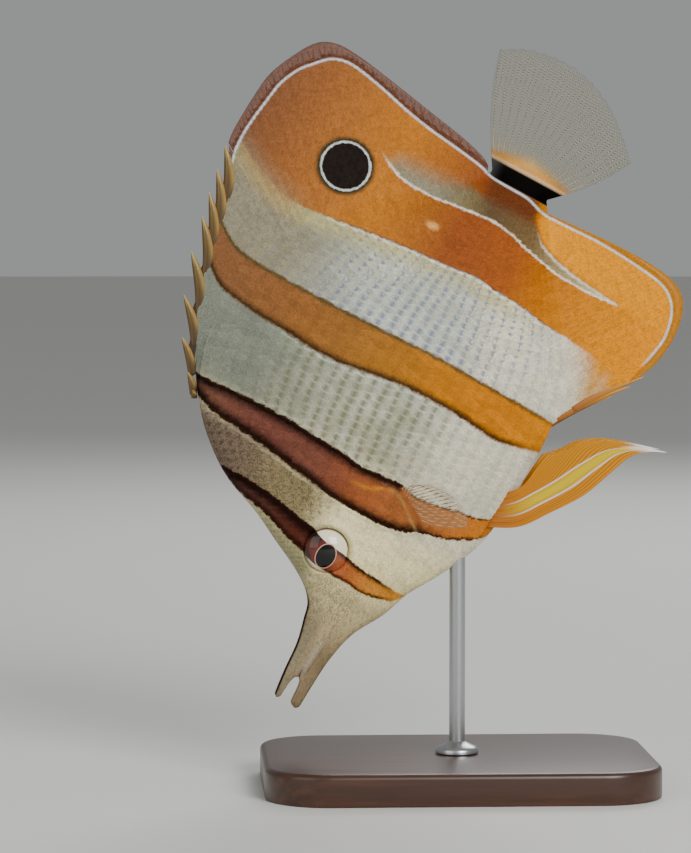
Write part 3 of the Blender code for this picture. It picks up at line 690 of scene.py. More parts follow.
def markings():
    """The fish's colours at each point, and the shares of its ground between the bars and of clear skin."""
    place, x, inside_rim, z = kept("place")
    crest = add("Attribute", out="Fac", attribute_name="crest")
    level, length = add("MapRange", (z, LOWEST, HIGHEST)), add("MapRange", (x, 0, LONGEST))
    fine = add("TexNoise", {"Vector": place, "Scale": 0.9, "Detail": 3.0, "Roughness": 0.6})
    coarse = add("TexNoise", {"Vector": place, "Scale": 0.16, "Detail": 2.0})
    shift = add("Math", (fine, -0.5), operation="ADD")
    rough_x = add("Math", (shift, x), operation="ADD")

    nape = both((z, 1, 12), (x, 38, 42), (x, 60, 52))
    dots = fade(add("TexNoise", {"Vector": place, "Scale": 2.4, "Detail": 1.0}), 0.5, 0.6)
    mouth_line = add("Math", (x, 0.085, z), operation="MULTIPLY_ADD")
    near_mouth = both((x, 6, 8), (x, 19, 14))
    ground = tints(length, {
        0: "#84725E", 14: "#A08F74", 30: "#CFC29E", 42: "#F2E7BC", 58: "#E0D8B8", 64: "#A4A18A",
        78: "#9EA18C", 94: "#B1B4AB", 108: "#B3B5A6", 130: "#A29680", 138: "#8A6A52",
    }, 0, LONGEST)
    ground = paint(
        ground,
        ("#D8D2BE", (z, -2, -16), (x, 44, 58)),
        ("#7C8074", (z, 8, 44), (x, 58, 66), (x, 92, 84)),
        ("#8C8672", (z, 20, 46), (x, 88, 94)),
        ("#C08A42", (z, -32, -42), (x, 92, 106)),
        (paint("#8C7F64", ("#75665A", (z, 16, 34))), nape),
        ("#4E4636", dots, nape, 0.65),
        ("#9C8E70", dots, (x, 17, 24), (x, 36, 29), (z, -15, -10), (z, 2, -3)),
        ("#8A806A", (x, 27, 18), (z, -8.5, -6.2)),
        ("#84745E", (x, 24, 10), (z, -9.4, -10.6)),
        ("#5E5846", (fine, 0.45, 0.65), (x, 32, 26), 0.4),
        # Painted highlight: a pale blue-grey sheen along the upper jaw, just above the gape.
        ("#AEB9BA", stripe(mouth_line, -8.1, 0.2, 1.1), near_mouth, 0.4),
        ("#3E3A30", stripe(mouth_line, -9.25, 0.02, 0.3), near_mouth),
        ("#A29C7C", (x, 45, 34), (z, -1, 4)),
        ("#2B1614", (crest, 0.7, 0.25), (x, 30, 24)),
        ("#5C4A38", (crest, 0.5, 0.1), (x, 24, 32), (x, 58, 50)),
        ("#C9C8BC", (coarse, 0.35, 0.7), 0.5, (x, 55, 64), (z, 34, 12)),
    )
    made, bars = add("HueSaturation", {"Saturation": 1.15, "Color": ground}), []

    for left, right, soft, stops, lines, rims in BARS:
        from_left, from_right = past_edge(rough_x, level, left), past_edge(rough_x, level, right)
        inside = both((from_left, -soft, soft), (from_right, soft, -soft))
        edges = {"left": (from_left, 1), "right": (from_right, -1)}
        for side, pale, low, high in lines:
            behind, way = edges[side]
            made = paint(made, (pale, stripe(behind, -0.8 * way, 0.1, 0.5), (z, low, high), (z, 44, 20)))
        colour = paint(made, (tints(level, stops), inside))
        for side, wide, dark, low, high in rims:
            behind, way = edges[side]
            near = fade(behind, way * wide * 1.4, way * wide * 0.2)
            colour = paint(colour, (dark, inside, near, (z, low, high)))
        made = colour
        bars.append(inside)

    edge_4, straight_4 = past_edge(rough_x, level, BAR_4_LEFT), past_edge(x, level, BAR_4_LEFT)
    bar_4 = fade(edge_4, -0.35, 0.35)
    bar_4 = add("Mix", {0: fade(z, 42, 52), 2: bar_4, 3: fade(edge_4, -8.0, 6.0)})
    bar_4 = add("Mix", {0: fade(z, -26, -40), 2: bar_4, 3: fade(edge_4, -8.0, 2.5)})
    rust = tints(level, {
        -52: "#E28E08", -40: "#DA880C", -28: "#CA7C1A", -17: "#B26C2A", -8: "#98542A", 9: "#8C4C2A",
        18: "#A36432", 30: "#B97638", 44: "#A66A3A", 58: "#8C5A38", 70: "#724C38",
    })
    middle_part = both((z, -30, -20), (z, 42, 34))
    made = paint(
        made,
        ("#BFB478", (straight_4, -6, -1.5), (z, -24, -8), 0.6, (straight_4, 0.3, -0.3)),
        (rust, bar_4),
        ("#5A3822", stripe(straight_4, 0.1, 0.1, 0.35), middle_part),
        ("#E8E2D6", stripe(straight_4, -0.55, 0.15, 0.32), middle_part),
        # Painted highlight: the glint on the rust bar.
        ("#E2AC68", (from_point(place, GLINT, GLINT_SIZE), 0.9, 0.1)),
    )

    from_saddle = past_edge(rough_x, level, SADDLE_LEFT)
    behind_saddle = past_edge(rough_x, level, SADDLE_RIGHT)
    heights = both((z, -36.5, -34), (z, 35.5, 29))
    soft_rear = add("MapRange", (z, 8, 18, -0.9, -7.5))
    olive_tint = tints(level, {
        -36: "#CFC2A6", -24: "#A6946C", -8: "#6E5838", 4: "#5C4832", 10: "#766848",
        18: "#84806A", 33: "#8A8472",
    })
    spot = from_point(place, EYE_SPOT, EYE_SPOT_SIZE)
    spot = add("Math", (shift, 0.05, spot), operation="MULTIPLY_ADD")
    # Painted highlight: gold along the gill cover's ridge, where light catches it; lower down the same line
    # is the tan root of the pectoral fin.
    gill_highlight_and_fin_root = both(stripe(past_edge(x, level, GILL_HIGHLIGHT_AND_FIN_ROOT), 0, 0.2, 0.8), (z, -18, -15), (z, 5, -1))
    made = paint(
        made,
        ("#E29000", (behind_saddle, -0.5, 1.5), (z, -5, -10)),
        (olive_tint, (from_saddle, -0.2, 0.6), (behind_saddle, 0.5, soft_rear), heights),
        ("#E6DFCE", stripe(from_saddle, 0.1, 0.25, 0.3), heights),
        ("#DAD6C6", stripe(behind_saddle, -0.3, 0.25, 0.45), (z, -8, -14), (z, -36, -34)),
        ("#663820", (x, 131.5, 136), stripe(z, 0.2, 7.2, 1.4)),
        ("#38301E", (spot, 1.46, 1.18)),
        ("#CBD1CC", (spot, 1.18, 1.1)),
        ("#221C18", (spot, 1.08, 1.02)),
        # The painted gold highlight of the gill cover's ridge, tan at the pectoral fin's root.
        (paint("#BC9560", ("#D28C3C", (z, -9, -4))), gill_highlight_and_fin_root, (coarse, 0.1, 0.5)),
    )

    outer = both((inside_rim, -0.1, -0.5), (x, 103, 108))
    above = both(outer, (z, 4, 9))
    behind_spines = rest_of(both((z, -30, -38), (x, 119, 114)))
    from_axis = add("Math", (z,), operation="ABSOLUTE")
    spread = add("Math", (x, -0.7, from_axis), operation="MULTIPLY_ADD")
    fan_out = add("Math", (from_axis, 0.32, x), operation="MULTIPLY_ADD")
    tail = both((x, 139.2, 139.6), (spread, -89.1, -89.5), (inside_rim, -0.2, -0.5))
    tail_tint = tints(length, {
        139.4: "#080605", 143.5: "#080605", 143.9: "#D6C49A", 144.4: "#C07A1C",
        146: "#BE8A38", 148.5: "#A89A70",
    }, 0, LONGEST)
    made = paint(
        made,
        (paint("#7A4D38", ("#51342A", (fine, 0.4, 0.6), 0.5)), above),
        ("#B07220", outer, (z, -4, -9)),
        ("#CDD5D8", stripe(inside_rim, 0, 0.26, 0.3), (x, 108, 114), behind_spines),
        (tail_tint, tail),
    )

    clear = add("Math", (both(tail, (fan_out, 146, 150.2)), both(above, 0.4)), operation="MAXIMUM")
    grain = add("TexNoise", {"Vector": place, "Scale": 2.6, "Detail": 2.0, "Roughness": 0.7})
    grain = add("MapRange", (grain, 0.3, 0.7, 0.68, 1.2))
    colours = add("HueSaturation", {"Saturation": 1.06, "Value": grain, "Color": made})
    in_bars = bar_4
    for other in bars:
        in_bars = add("Math", (in_bars, other), operation="MAXIMUM")
    return colours, rest_of(in_bars), clear


def wet(shader, colours, clear, texture, bump, gloss, coat):
    """Fills a wet finish: fine relief, and a gloss that its dark colours lack."""
    shine = add("MapRange", (add("RGBToBW", (colours,)), 0.0, 0.06, 0.0, gloss))
    fill(shader, {
        "Base Color": colours, "Alpha": rest_of(clear), "Specular IOR Level": shine,
        "Coat Weight": both(shine, coat), "Coat Roughness": 0.3,
        "Normal": add("Bump", {"Height": texture, "Strength": bump, "Distance": 0.0001}, "Normal"),
    })


# Wet fish skin: soft gloss over pigment, with fine pores.
skin_finish, shader = new_material("wet fish skin", 0.46)
place = kept("place")[0]
colours, ground, clear = markings()
wet(shader, colours, clear, add("TexNoise", {"Vector": place, "Scale": 2.2, "Detail": 2.0}), 0.25, 0.2, 0.25)
write("skin", skin, skin_finish, "skin", "head", "upper_jaw", "lower_jaw", "gill_cover_left",
      "gill_cover_right", "trunk", "tail_stalk", "dorsal_soft_fin", "anal_fin")


# The scales: thin horny plates set in rows like roof tiles, small on the face and on the fins, with their
# free edges towards the tail. Each is a closed plate, bent to the skin, whose root is sunk in it.
ROWS_OF_SCALES = 26
SCALE_LIFT = 0.16
PATCH = 0.003
UNWRAP_LENGTH, UNWRAP_GIRTH = 190, 200
UNWRAP_BEFORE, UNWRAP_ABOVE = 5, 55
SCALES_START, SCALES_END, FACE_END = 27, 138.4, 52
FACE_LIFT = 0.55
BARE_ROUND_EYE = 0.9
BARE_NOSTRILS, BARE_NOSTRILS_RADIUS = (29.6, 0.7), 2.0
OUTSIDE = 60


def plate():
    """One scale: u along it from the root, v across it from -1 to 1, and its height above the skin."""
    bm = bmesh.new()
    bmesh.ops.create_grid(bm, x_segments=2, y_segments=4, size=0.5)
    for vert in bm.verts:
        u, v = vert.co.x + 0.5, vert.co.y * 2
        vert.co = (u * (1 - 0.3 * v * v), v * (0.78 + 0.22 * u), 1.2 * (u - 0.3) - 0.12 * v * v)
    for vert in second_side(bm, bm.faces[:]):
        vert.co.z -= 0.7 - 0.5 * vert.co.x
    bmesh.ops.recalc_face_normals(bm, faces=bm.faces[:])
    bmesh.ops.triangulate(bm, faces=bm.faces[:])
    bm.verts.index_update()
    points = np.array([vert.co[:] for vert in bm.verts])
    corners = np.array([[vert.index for vert in face.verts] for face in bm.faces])
    bm.free()
    return points, corners


plate_points, plate_corners = plate()
chance = np.random.default_rng(11)


def girth(x, z):
    """How far below the crest a point lies, measured over the round side."""
    levels = back(x) + (z - back(x)) * np.linspace(0, 1, 25)[:, None]
    steps = np.hypot(np.diff(levels, axis=0), np.diff(half_depth(x, levels), axis=0))
    return np.sum(steps, axis=0) * np.sign(back(x) - z)


def unit(vectors):
    return vectors / np.linalg.norm(vectors, axis=-1, keepdims=True)


def tile(name, side, rows, material, slot):
    """Joins the scales of a part of one side; a row is a root, its lie, length, half width and lift."""
    seats = [skin_surface.ray_cast((x, side * OUTSIDE, z), (0, -side, 0))[:2] for x, z in rows[:, :2]]
    held = np.array([place is not None and abs(facing.y) > 0.05 for place, facing in seats])
    rows = rows[held]
    place, facing = np.array([seat for seat, hold in zip(seats, held) if hold]).transpose(1, 0, 2)
    x, z, along, up, length, half, lift = rows.T
    lie = np.stack([along, 0 * along, up], axis=-1)
    lie = unit(lie - facing * np.sum(lie * facing, axis=1, keepdims=True))
    u, v, w = plate_points.T
    flat = place[:, None] + (lie * length[:, None])[:, None] * u[:, None]
    flat += (np.cross(facing, lie) * half[:, None])[:, None] * v[:, None]
    bent = np.array([skin_surface.find_nearest(point)[:2] for point in flat.reshape(-1, 3)])
    points = bent[:, 0] + bent[:, 1] * (lift[:, None] * w * SCALE_LIFT).reshape(-1, 1)

    count = len(rows)
    corners = (plate_corners[None] + np.arange(count)[:, None, None] * len(u)).reshape(-1, 3)
    mesh = bpy.data.meshes.new(name)
    mesh.from_pydata(to_world(points), [], corners)
    mesh.shade_smooth()
    mesh.set_sharp_from_angle(angle=math.radians(40))
    chart = np.stack([(x + UNWRAP_BEFORE) / UNWRAP_LENGTH / 2, (girth(x, z) + UNWRAP_ABOVE) / UNWRAP_GIRTH])
    chart += [[0.5 if side > 0 else 0], [0]]
    chart = chart.T[:, None] + np.stack([u - 0.5, v / 2], axis=-1) * PATCH
    mesh.uv_layers.new(name="OFBake").uv.foreach_set("vector", chart.reshape(-1, 2)[corners.ravel()].ravel())
    seen = np.stack(np.broadcast_arrays(u, v, chance.random(count)[:, None]), axis=-1)
    mesh.attributes.new("scale", "FLOAT_VECTOR", "POINT").data.foreach_set("vector", seen.ravel())
    own = np.stack([x + 0.6 * length, 0 * x, z], axis=-1)[:, None].repeat(len(u), axis=1).reshape(-1, 3)
    keep_places(mesh, bent[:, 0] * 0.85 + own * 0.15)
    piece(name, mesh, material, slot)


def body_rows(start, end):
    """Rows that run along the body and draw together towards the head and the tail."""
    x, column, made = start, 0, []
    while x < end:
        tall = (back(x) - belly(x)) / ROWS_OF_SCALES
        narrower = (back(x + 1) - belly(x + 1)) / ROWS_OF_SCALES - tall
        for row in range(column % 2, ROWS_OF_SCALES, 2):
            z = belly(x) + tall * (row + 0.5 + 0.06 * math.sin(row * 2.1 + x * 0.7))
            rise = min(z - belly(x), back(x) - z) / tall
            lie = (1, narrower * (row - ROWS_OF_SCALES / 2 + 0.5))
            made.append((x, z, *lie, tall * 1.15, tall * 0.95, min(1, 0.55 + 0.2 * rise)))
        x += tall * 0.29
        column += 1
    return np.array(made)


def fin_rows(start, end, place, pitch, reach):
    """Rows that run out along a fin's rays, smaller towards its margin."""
    made, t, row = [], 0.0, 0
    while t < reach:
        size = pitch * (1 - 0.3 * t)
        count = int((end - start) / size * (1 + 0.5 * t))
        s = start + (end - start) * (np.arange(count) + 0.5 * (row % 2)) / count
        here, out, beside_it = (
            np.stack(place(s + aside, np.full(count, t + ahead))[:2], axis=-1)
            for aside, ahead in ((0, 0), (0, 0.05), (0.5, 0))
        )
        height = np.linalg.norm(out - here, axis=1)
        half = np.maximum(0.25, np.linalg.norm(beside_it - here, axis=1)) * size * 0.78
        for spot, way, tall, wide in zip(here, out - here, height, half):
            made.append((*spot, way[0] / tall + 0.5, way[1] / tall, size * 1.5, wide, 0.6))
        t += 0.05 * size * 0.5 / max(height.mean(), 0.01)
        row += 1
    return np.array(made)


# Horny, half clear scale over pigment: each has a tone of its own, and the silver ones a dark streak.
scale_finish, shader = new_material("horny fish scale", 0.45)
place, x, _, z = kept("place")
_, u, v, luck = kept("scale")
colours, ground, clear = markings()
silver = both(ground, (x, 54, 62), (x, 136, 128))
patches = fade(add("TexNoise", {"Vector": place, "Scale": 0.3, "Detail": 2.0}), 0.2, 0.45)
slope = add("Math", (x, 0.4, z), operation="MULTIPLY_ADD")
higher = add("MapRange", (slope, 10, 26, 0.15, 0.9))
strength = both(silver, patches, higher, (z, 42, 28))
for other in (both(ground, (z, -2, 6), (x, 60, 52)), 0.3):
    strength = add("Math", (strength, other), operation="MAXIMUM")
darker = add("HueSaturation", {"Value": 0.5, "Color": colours})
ink = paint(darker, (paint("#626148", ("#5E6880", (x, 84, 92))), silver))
dash = both(stripe(v, 0, 0.2, 0.3), (u, 0.45, 0.6), (u, 1.0, 0.85), (luck, -0.6, 0.6), strength)
tone = add("Math", (luck, 0.26, 0.87), operation="MULTIPLY_ADD")
colours = add("HueSaturation", {"Value": tone, "Color": paint(colours, (ink, dash))})
fill(shader, {"Metallic": both(silver, 0.12)})
wet(shader, colours, clear, add("TexNoise", {"Vector": place, "Scale": 3.0, "Detail": 1.0}), 0.3, 0.08, 0.3)

body_made = body_rows(SCALES_START, SCALES_END)
face = body_made[:, 0] < FACE_END
body_made[face, 6] *= FACE_LIFT
bare = np.zeros(len(body_made), bool)
for centre, radius in ((EYE_PLACE, EYE_RADIUS + BARE_ROUND_EYE), (BARE_NOSTRILS, BARE_NOSTRILS_RADIUS)):
    bare |= np.hypot(body_made[:, 0] - centre[0], body_made[:, 1] - centre[1]) <= radius
spiny_rows = fin_rows(DORSAL_START + 0.2, DORSAL_SPLIT, spiny_place, 1.35, 0.88)
soft_rows = fin_rows(DORSAL_SPLIT - 0.7, DORSAL_END - 0.4, soft_place, 1.3, 0.97)
anal_rows = fin_rows(ANAL_START + 1, ANAL_END - 0.4, anal_place, 1.3, 0.97)
back_rows = np.concatenate([spiny_rows, soft_rows])
SIDES = ((-1, "left"), (1, "right"))
for side, hand in SIDES:
    tile("face_scales_" + hand, side, body_made[face & ~bare], scale_finish, "skin")
    tile("body_scales_" + hand, side, body_made[~face], scale_finish, "skin")
    for name, made in (("back_fin_scales_", back_rows), ("anal_fin_scales_", anal_rows)):
        tile(name + hand, side, made[rim(made[:, 0], made[:, 1]) > -0.3], scale_finish, "fin_orange")


# The spiny back fin: nine hard golden spines, each with a leaf of skin that stands in the scaly sheath and
# overlaps the next, and the three stout spines at the front of the anal fin.
SPINE_TIPS = [
    (57.6, 48.6), (61, 51.6), (68, 57), (77.5, 61.5), (88, 65), (97, 66.7), (103, 67.8), (109, 68.8),
    (115.2, 69.8),
]
ANAL_SPINES = [((91, -33.8), (105.4, -45.3)), ((93, -35), (109.8, -48.4)), ((97, -37.4), (113.6, -50.4))]
SIDEWAYS = np.array([0.0, 1.0, 0.0])


def new_drawing():
    """An empty mesh whose points keep their share round or across and their share along."""
    bm = bmesh.new()
    bm.verts.layers.float_vector.new("spot")
    return bm


def put(bm, verts, points, across, along):
    layer = bm.verts.layers.float_vector["spot"]
    for vert, point, spot in zip(verts, points, zip(across, along)):
        vert.co = point
        vert[layer] = (*spot, 0)


def rod(bm, line, wide, thick, sides=8, rows=12, facing=SIDEWAYS):
    """A tapered rod along a line, closed at both ends, by its half width and half thickness along it."""
    verts = bmesh.ops.create_grid(bm, x_segments=sides, y_segments=rows, size=0.5)["verts"]
    s, t = grid_shares(verts)
    onward = line(t + 0.01) - line(t - 0.01)
    across = unit(np.cross(facing, onward))
    out = unit(np.cross(onward, across))
    closed = 1 - np.abs(2 * t - 1) ** 60
    turn = 2 * math.pi * s
    points = line(t) + across * (np.cos(turn) * wide(t) * closed)[:, None]
    points += out * (np.sin(turn) * thick(t) * closed)[:, None]
    put(bm, verts, points, np.cos(turn), t)
    bmesh.ops.remove_doubles(bm, verts=verts, dist=0.001)


def sheet(bm, columns, rows, middle, half):
    """A thin closed sheet: a grid laid on its middle, pushed out both ways by half its thickness."""
    near = bmesh.ops.create_grid(bm, x_segments=columns, y_segments=rows, size=0.5)["verts"]
    far = second_side(bm, list({face for vert in near for face in vert.link_faces}))
    for verts, way in ((near, -1), (far, 1)):
        s, t = grid_shares(verts)
        right = middle(np.minimum(s + 0.01, 1), t) - middle(np.maximum(s - 0.01, 0), t)
        ahead = middle(s, np.minimum(t + 0.01, 1)) - middle(s, np.maximum(t - 0.01, 0))
        put(bm, verts, middle(s, t) + unit(np.cross(right, ahead)) * (half(s, t) * way)[:, None], s, t)


def spine_line(start, end, bow):
    """A spine's middle, bowed a little towards the head."""
    start, end = np.array([start[0], 0, start[1]]), np.array([end[0], 0, end[1]])
    side = unit(np.cross(end - start, SIDEWAYS)) * bow

    def line(t):
        t = np.clip(t, 0, 1)[..., None]
        return start + (end - start) * t + side * np.sin(math.pi * t)

    return line


# Bone in a leaf of scaly skin: dark at its foot and gold at its tip, with a painted highlight down one
# side, painted shade down the other, a thin dark rim and little gloss.
spine_finish, shader = new_material("golden-brown leaf of skin over a spine", 0.42)
_, across, along, _ = kept("spot")
horn = paint(
    tints(along, {0: "#3C2E1C", 0.35: "#564222", 0.75: "#75602C", 1: "#C2A860"}, 0, 1),
    # Painted highlight: lighter gold down one side of the leaf.
    ("#9C7A38", (across, 0.1, 0.75), (along, 0.2, 0.5)),
    ("#33251A", (across, 0.88, 0.97)),
    # Painted shade down the other side of the leaf.
    ("#5C442A", (across, -0.35, -0.8)),
    ("#3C2A1A", stripe(across, -0.15, 0.03, 0.14), (along, 0.97, 0.9)),
)
fill(shader, {"Base Color": horn, "Specular IOR Level": 0.3, "Coat Weight": 0.1})

# Skin between the spines: thin and folded, painted dark as the shade that falls between the overlapping
# leaves, so that the leaves stand out.
web_shade_finish, shader = new_material("web of skin painted dark as shade", 0.55)
fill(shader, {"Base Color": "#3E2E20", "Specular IOR Level": 0.2})

sheath_height = curve(SHEATH)
spines, webs, lines = new_drawing(), new_drawing(), []
for number, (x, z) in enumerate(SPINE_TIPS):
    root = x - min(1.8 + 2.8 * number, 13.5)
    span = min(1.7 + 0.4 * number, 3.1)
    foot = max(sheath_height(root) - 1.0, back(root) + 0.6 + span / 2)
    lines.append(spine_line((root, foot), (x, z), -0.07 * (x - root)))
    rod(spines, lines[-1], lambda t: span / 2 * (0.85 + 0.3 * t) * (1 - t ** 3),
        lambda t: 0.25 + 0.75 * np.sin(math.pi * t ** 1.3), 20, 24)
for before, after in zip(lines, lines[1:]):
    def middle(s, t):
        return before(0.62 * t) * (1 - s)[:, None] + after(0.42 * t) * s[:, None]

    sheet(webs, 8, 6, middle, lambda s, t: 0.3 - 0.1 * t)
write("spines_of_back_fin", spines, spine_finish, "fin_spines", "dorsal_spines")
write("webs_of_back_fin", webs, web_shade_finish, "fin_spines")

spines = new_drawing()
for start, end in ANAL_SPINES:
    line = spine_line(start, end, 0.7)
    rod(spines, line, lambda t: 1.3 * (1 - t ** 2.2), lambda t: 1.1 * (1 - t ** 1.4), 16, 24)
# Bone under thin orange-brown skin: a soft gloss and one dark edge.
orange_spine, shader = new_material("orange-brown fin spine", 0.4)
_, across, along, _ = kept("spot")
horn = tints(along, {0: "#8A5220", 0.6: "#AE7220", 1: "#C98E36"}, 0, 1)
horn = paint(horn, ("#5C3316", (across, 0.6, 0.95)))
fill(shader, {"Base Color": horn, "Specular IOR Level": 0.25, "Coat Weight": 0.1})
write("spines_of_anal_fin", spines, orange_spine, "fin_orange")


# The soft rays of the back and anal fins, which stand out of the thin skin beyond the pale line and fork
# before they reach the margin.
def on_fin(place, start, end):
    """A flat fin's middle, by the share of its root and of its way out."""

    def middle(s, t):
        x, z = place(start + (end - start) * np.clip(s, 0, 1), np.clip(t, 0, 1.02))[:2]
        return np.stack([x, 0 * x, z], axis=-1)

    return middle


def ray(bm, middle, share, fork, start, end, thick, tip, facing, rows=8):
    """One ray or branch over a fin's middle: fork is how far it has moved across by its end."""

    def line(t):
        t = np.clip(t, 0, 1)
        return middle(share + fork * t * t * (3 - 2 * t), start + (end - start) * t)

    def half(t):
        return thick + (tip - thick) * t

    rod(bm, line, half, half, 6, rows, facing)


def fan(bm, middle, rays, reach, thick, facing=SIDEWAYS):
    """All rays of a fin; each forks at every share of the way out in reach."""
    for number in range(rays):
        branches = [((number + 0.5) / rays, 0.0)]
        for level, (start, end) in enumerate(zip(reach, reach[1:])):
            base, top = thick * 0.72 ** level, thick * 0.72 ** (level + 1)
            for share, fork in branches:
                ray(bm, middle, share, fork, start - 0.02 * (level > 0), end, base, top, facing)
            apart = 1 / rays / 4 / 2 ** level
            branches = [(share + fork, side * apart) for share, fork in branches for side in (-1, 1)]


# Soft ray, horny and thin: dark brown on the back fin and orange on the anal fin.
ray_finish, shader = new_material("dark soft ray", 0.4)
z = kept("place")[3]
fill(shader, {"Base Color": paint("#B96A22", ("#5E3422", (z, 2, 8)))})
rays = new_drawing()
fan(rays, on_fin(soft_place, DORSAL_SPLIT + 1.5, DORSAL_END), DORSAL_RAYS, (0.72, 0.86, 0.985), 0.24)
fan(rays, on_fin(anal_place, ANAL_START + 2, ANAL_END), ANAL_RAYS, (0.72, 0.86, 0.985), 0.24)
write("rays_of_back_and_anal_fins", rays, ray_finish, "fin_orange")


# The tail fin: a clear skin stretched over seventeen jointed rays, each forked twice.
tail_middle = on_fin(tail_point, 0, 1)


def clear_skin(name, code, alpha):
    """Clear fin skin, thin as film: a faint tint with hardly any gloss."""
    material, shader = new_material(name, 0.5)
    fill(shader, {"Base Color": code, "Alpha": alpha, "Specular IOR Level": 0.2})
    return material


def jointed_ray(name, dark, light, joints):
    """Jointed soft ray: light and dark by turns, and warmer where it leaves the tail's scaly root."""
    material, shader = new_material(name, 0.6)
    x = kept("place")[1]
    wave = add("Math", (x, joints), operation="MULTIPLY")
    wave = add("Math", (wave,), operation="SINE")
    made = paint(dark, (light, (wave, -0.5, 0.5)), ("#B49468", (x, 152, 146), (x, 130, 140)))
    fill(shader, {"Base Color": made, "Specular IOR Level": 0.1})
    return material


def tail_skin(s, t):
    notch = 0.5 - 0.5 * np.cos(2 * math.pi * TAIL_RAYS * s)
    return tail_middle(s, 0.15 + (0.85 - 0.012 * notch) * t)


tail_sheet, tail_rays = new_drawing(), new_drawing()
sheet(tail_sheet, 4 * TAIL_RAYS, 30, tail_skin, lambda s, t: 0.14 - 0.09 * t)
fan(tail_rays, tail_middle, TAIL_RAYS, (0.12, 0.5, 0.74, 0.985), 0.19)
write("skin_of_tail_fin", tail_sheet, clear_skin("clear tail skin", "#7C7A68", 0.3), "fin_clear", "tail_fin")
write("rays_of_tail_fin", tail_rays, jointed_ray("jointed tail ray", "#5E5A49", "#A8A290", 9.0), "fin_clear")


# The pectoral fins: clear fans held out from the sides behind the gill covers, with fifteen fine rays.
PECTORAL_FRONT = [(60.3, -8.4, -8.6), (60.8, -17, -7.6), (61.6, -25, -7.6), (63.2, -32, -8.6)]
PECTORAL_REAR = [(55.4, -7.4, -16.4), (56, -13.2, -19.4), (57.6, -18.6, -22.8), (60, -23, -26)]
PECTORAL_MARGIN = [
    (63.2, -32, -8.6), (65.2, -33, -12), (65.8, -32, -16.3), (64.9, -29.4, -20.8), (62.9, -26.4, -24),
    (60, -23, -26),
]
PECTORAL_RAYS = 15


def between_edges(front, rear, margin):
    """The middle of a curved fin, stretched between its front edge, its rear edge and its margin."""
    front, rear, margin = path(front), path(rear), path(margin)

    def middle(s, t):
        across = np.clip(s, 0, 1)[:, None]
        ends = front(1) + (rear(1) - front(1)) * across
        return front(t) + (rear(t) - front(t)) * across + (margin(s) - ends) * np.clip(t, 0, 1)[:, None]

    return middle


def mirror(side, *drawings):
    """Moves a left fin to the fish's right side where side is 1."""
    for bm in drawings:
        bmesh.ops.scale(bm, vec=(1, -side, 1), verts=bm.verts[:])


pectoral = between_edges(PECTORAL_FRONT, PECTORAL_REAR, PECTORAL_MARGIN)
pectoral_facing = unit(np.cross([5, -24, 0], [0, 6, -17]))
pectoral_skin = clear_skin("clear pectoral skin", "#E2DED0", 0.05)
pectoral_ray = jointed_ray("fine pectoral ray", "#B08A5A", "#D6BE92", 5.0)
for side, hand in SIDES:
    fin_sheet, fin_rays = new_drawing(), new_drawing()
    sheet(fin_sheet, 30, 16, pectoral, lambda s, t: 0.16 - 0.1 * t)
    fan(fin_rays, pectoral, PECTORAL_RAYS, (0.0, 0.7, 0.99), 0.15, pectoral_facing)
    mirror(side, fin_sheet, fin_rays)
    write("skin_of_pectoral_" + hand, fin_sheet, pectoral_skin, "fin_clear", "pectoral_fin_" + hand)
    write("rays_of_pectoral_" + hand, fin_rays, pectoral_ray, "fin_clear")


# The pelvic fins: a stout spine and five soft rays in orange skin, lemon between two white streaks, drawn
# out behind into a white thread.
PELVIC_FRONT = [
    (61.5, -2.3, -32.5), (65.5, -2.9, -39.6), (72, -3.7, -44.6), (80, -4.6, -50), (88, -5.4, -53.2),
    (94, -6, -55.6), (97.4, -6.4, -59.4), (99.2, -6.6, -63.2),
]
PELVIC_REAR = [(71, -2.3, -32.5), (75, -2.8, -35.6), (80, -3.4, -36.4), (84.2, -4, -37)]
PELVIC_MARGIN = [
    (99.2, -6.6, -63.2), (97.8, -6.5, -58), (96.4, -6.3, -53), (94.6, -6, -48.2), (91.6, -5.4, -43.6),
    (88, -4.8, -40.8), (84.2, -4, -37),
]

pelvic = between_edges(PELVIC_FRONT, PELVIC_REAR, PELVIC_MARGIN)
# Wet skin over soft rays: fine dark lines run along the orange, with little gloss.
pelvic_finish, shader = new_material("wet orange fin", 0.5)
seen, across, along, _ = kept("spot")
narrowed = add("Math", (both(along, along), -0.8, 1.0), operation="MULTIPLY_ADD")
drawn_in = add("Math", (across, narrowed), operation="DIVIDE")
wave = {"Vector": seen, "Scale": 7.0, "Distortion": 1.5, "Detail": 1.0, "Detail Scale": 0.6}
lines = add("TexWave", wave, "Fac")
made = paint(
    tints(along, {0: "#A65E1C", 0.25: "#BE7606", 1: "#C48208"}, 0, 1),
    ("#6E4110", (lines, 0.35, 0.05), 0.6),
    ("#C8AC14", stripe(drawn_in, 0.46, 0.12, 0.08), (along, 0.0, 0.35)),
    ("#DEDAD0", stripe(drawn_in, 0.3, 0.015, 0.025), (along, 0.0, 0.3)),
    ("#DEDAD0", stripe(drawn_in, 0.62, 0.015, 0.025), (along, 0.0, 0.3)),
    ("#E6E3E0", (along, 0.86, 0.97), (across, 0.3, 0.12)),
)
fill(shader, {"Base Color": made, "Specular IOR Level": 0.14, "Coat Weight": 0.04})


def pelvic_half(s, t):
    ridges = np.abs(np.cos(s * 6 * math.pi)) ** 3 + 0.35 * np.abs(np.cos(s * 24 * math.pi)) ** 2 * t
    return 0.5 * (1 - t) * (1 - 0.4 * s) + 0.12 + 0.16 * ridges * (1 - 0.5 * t)


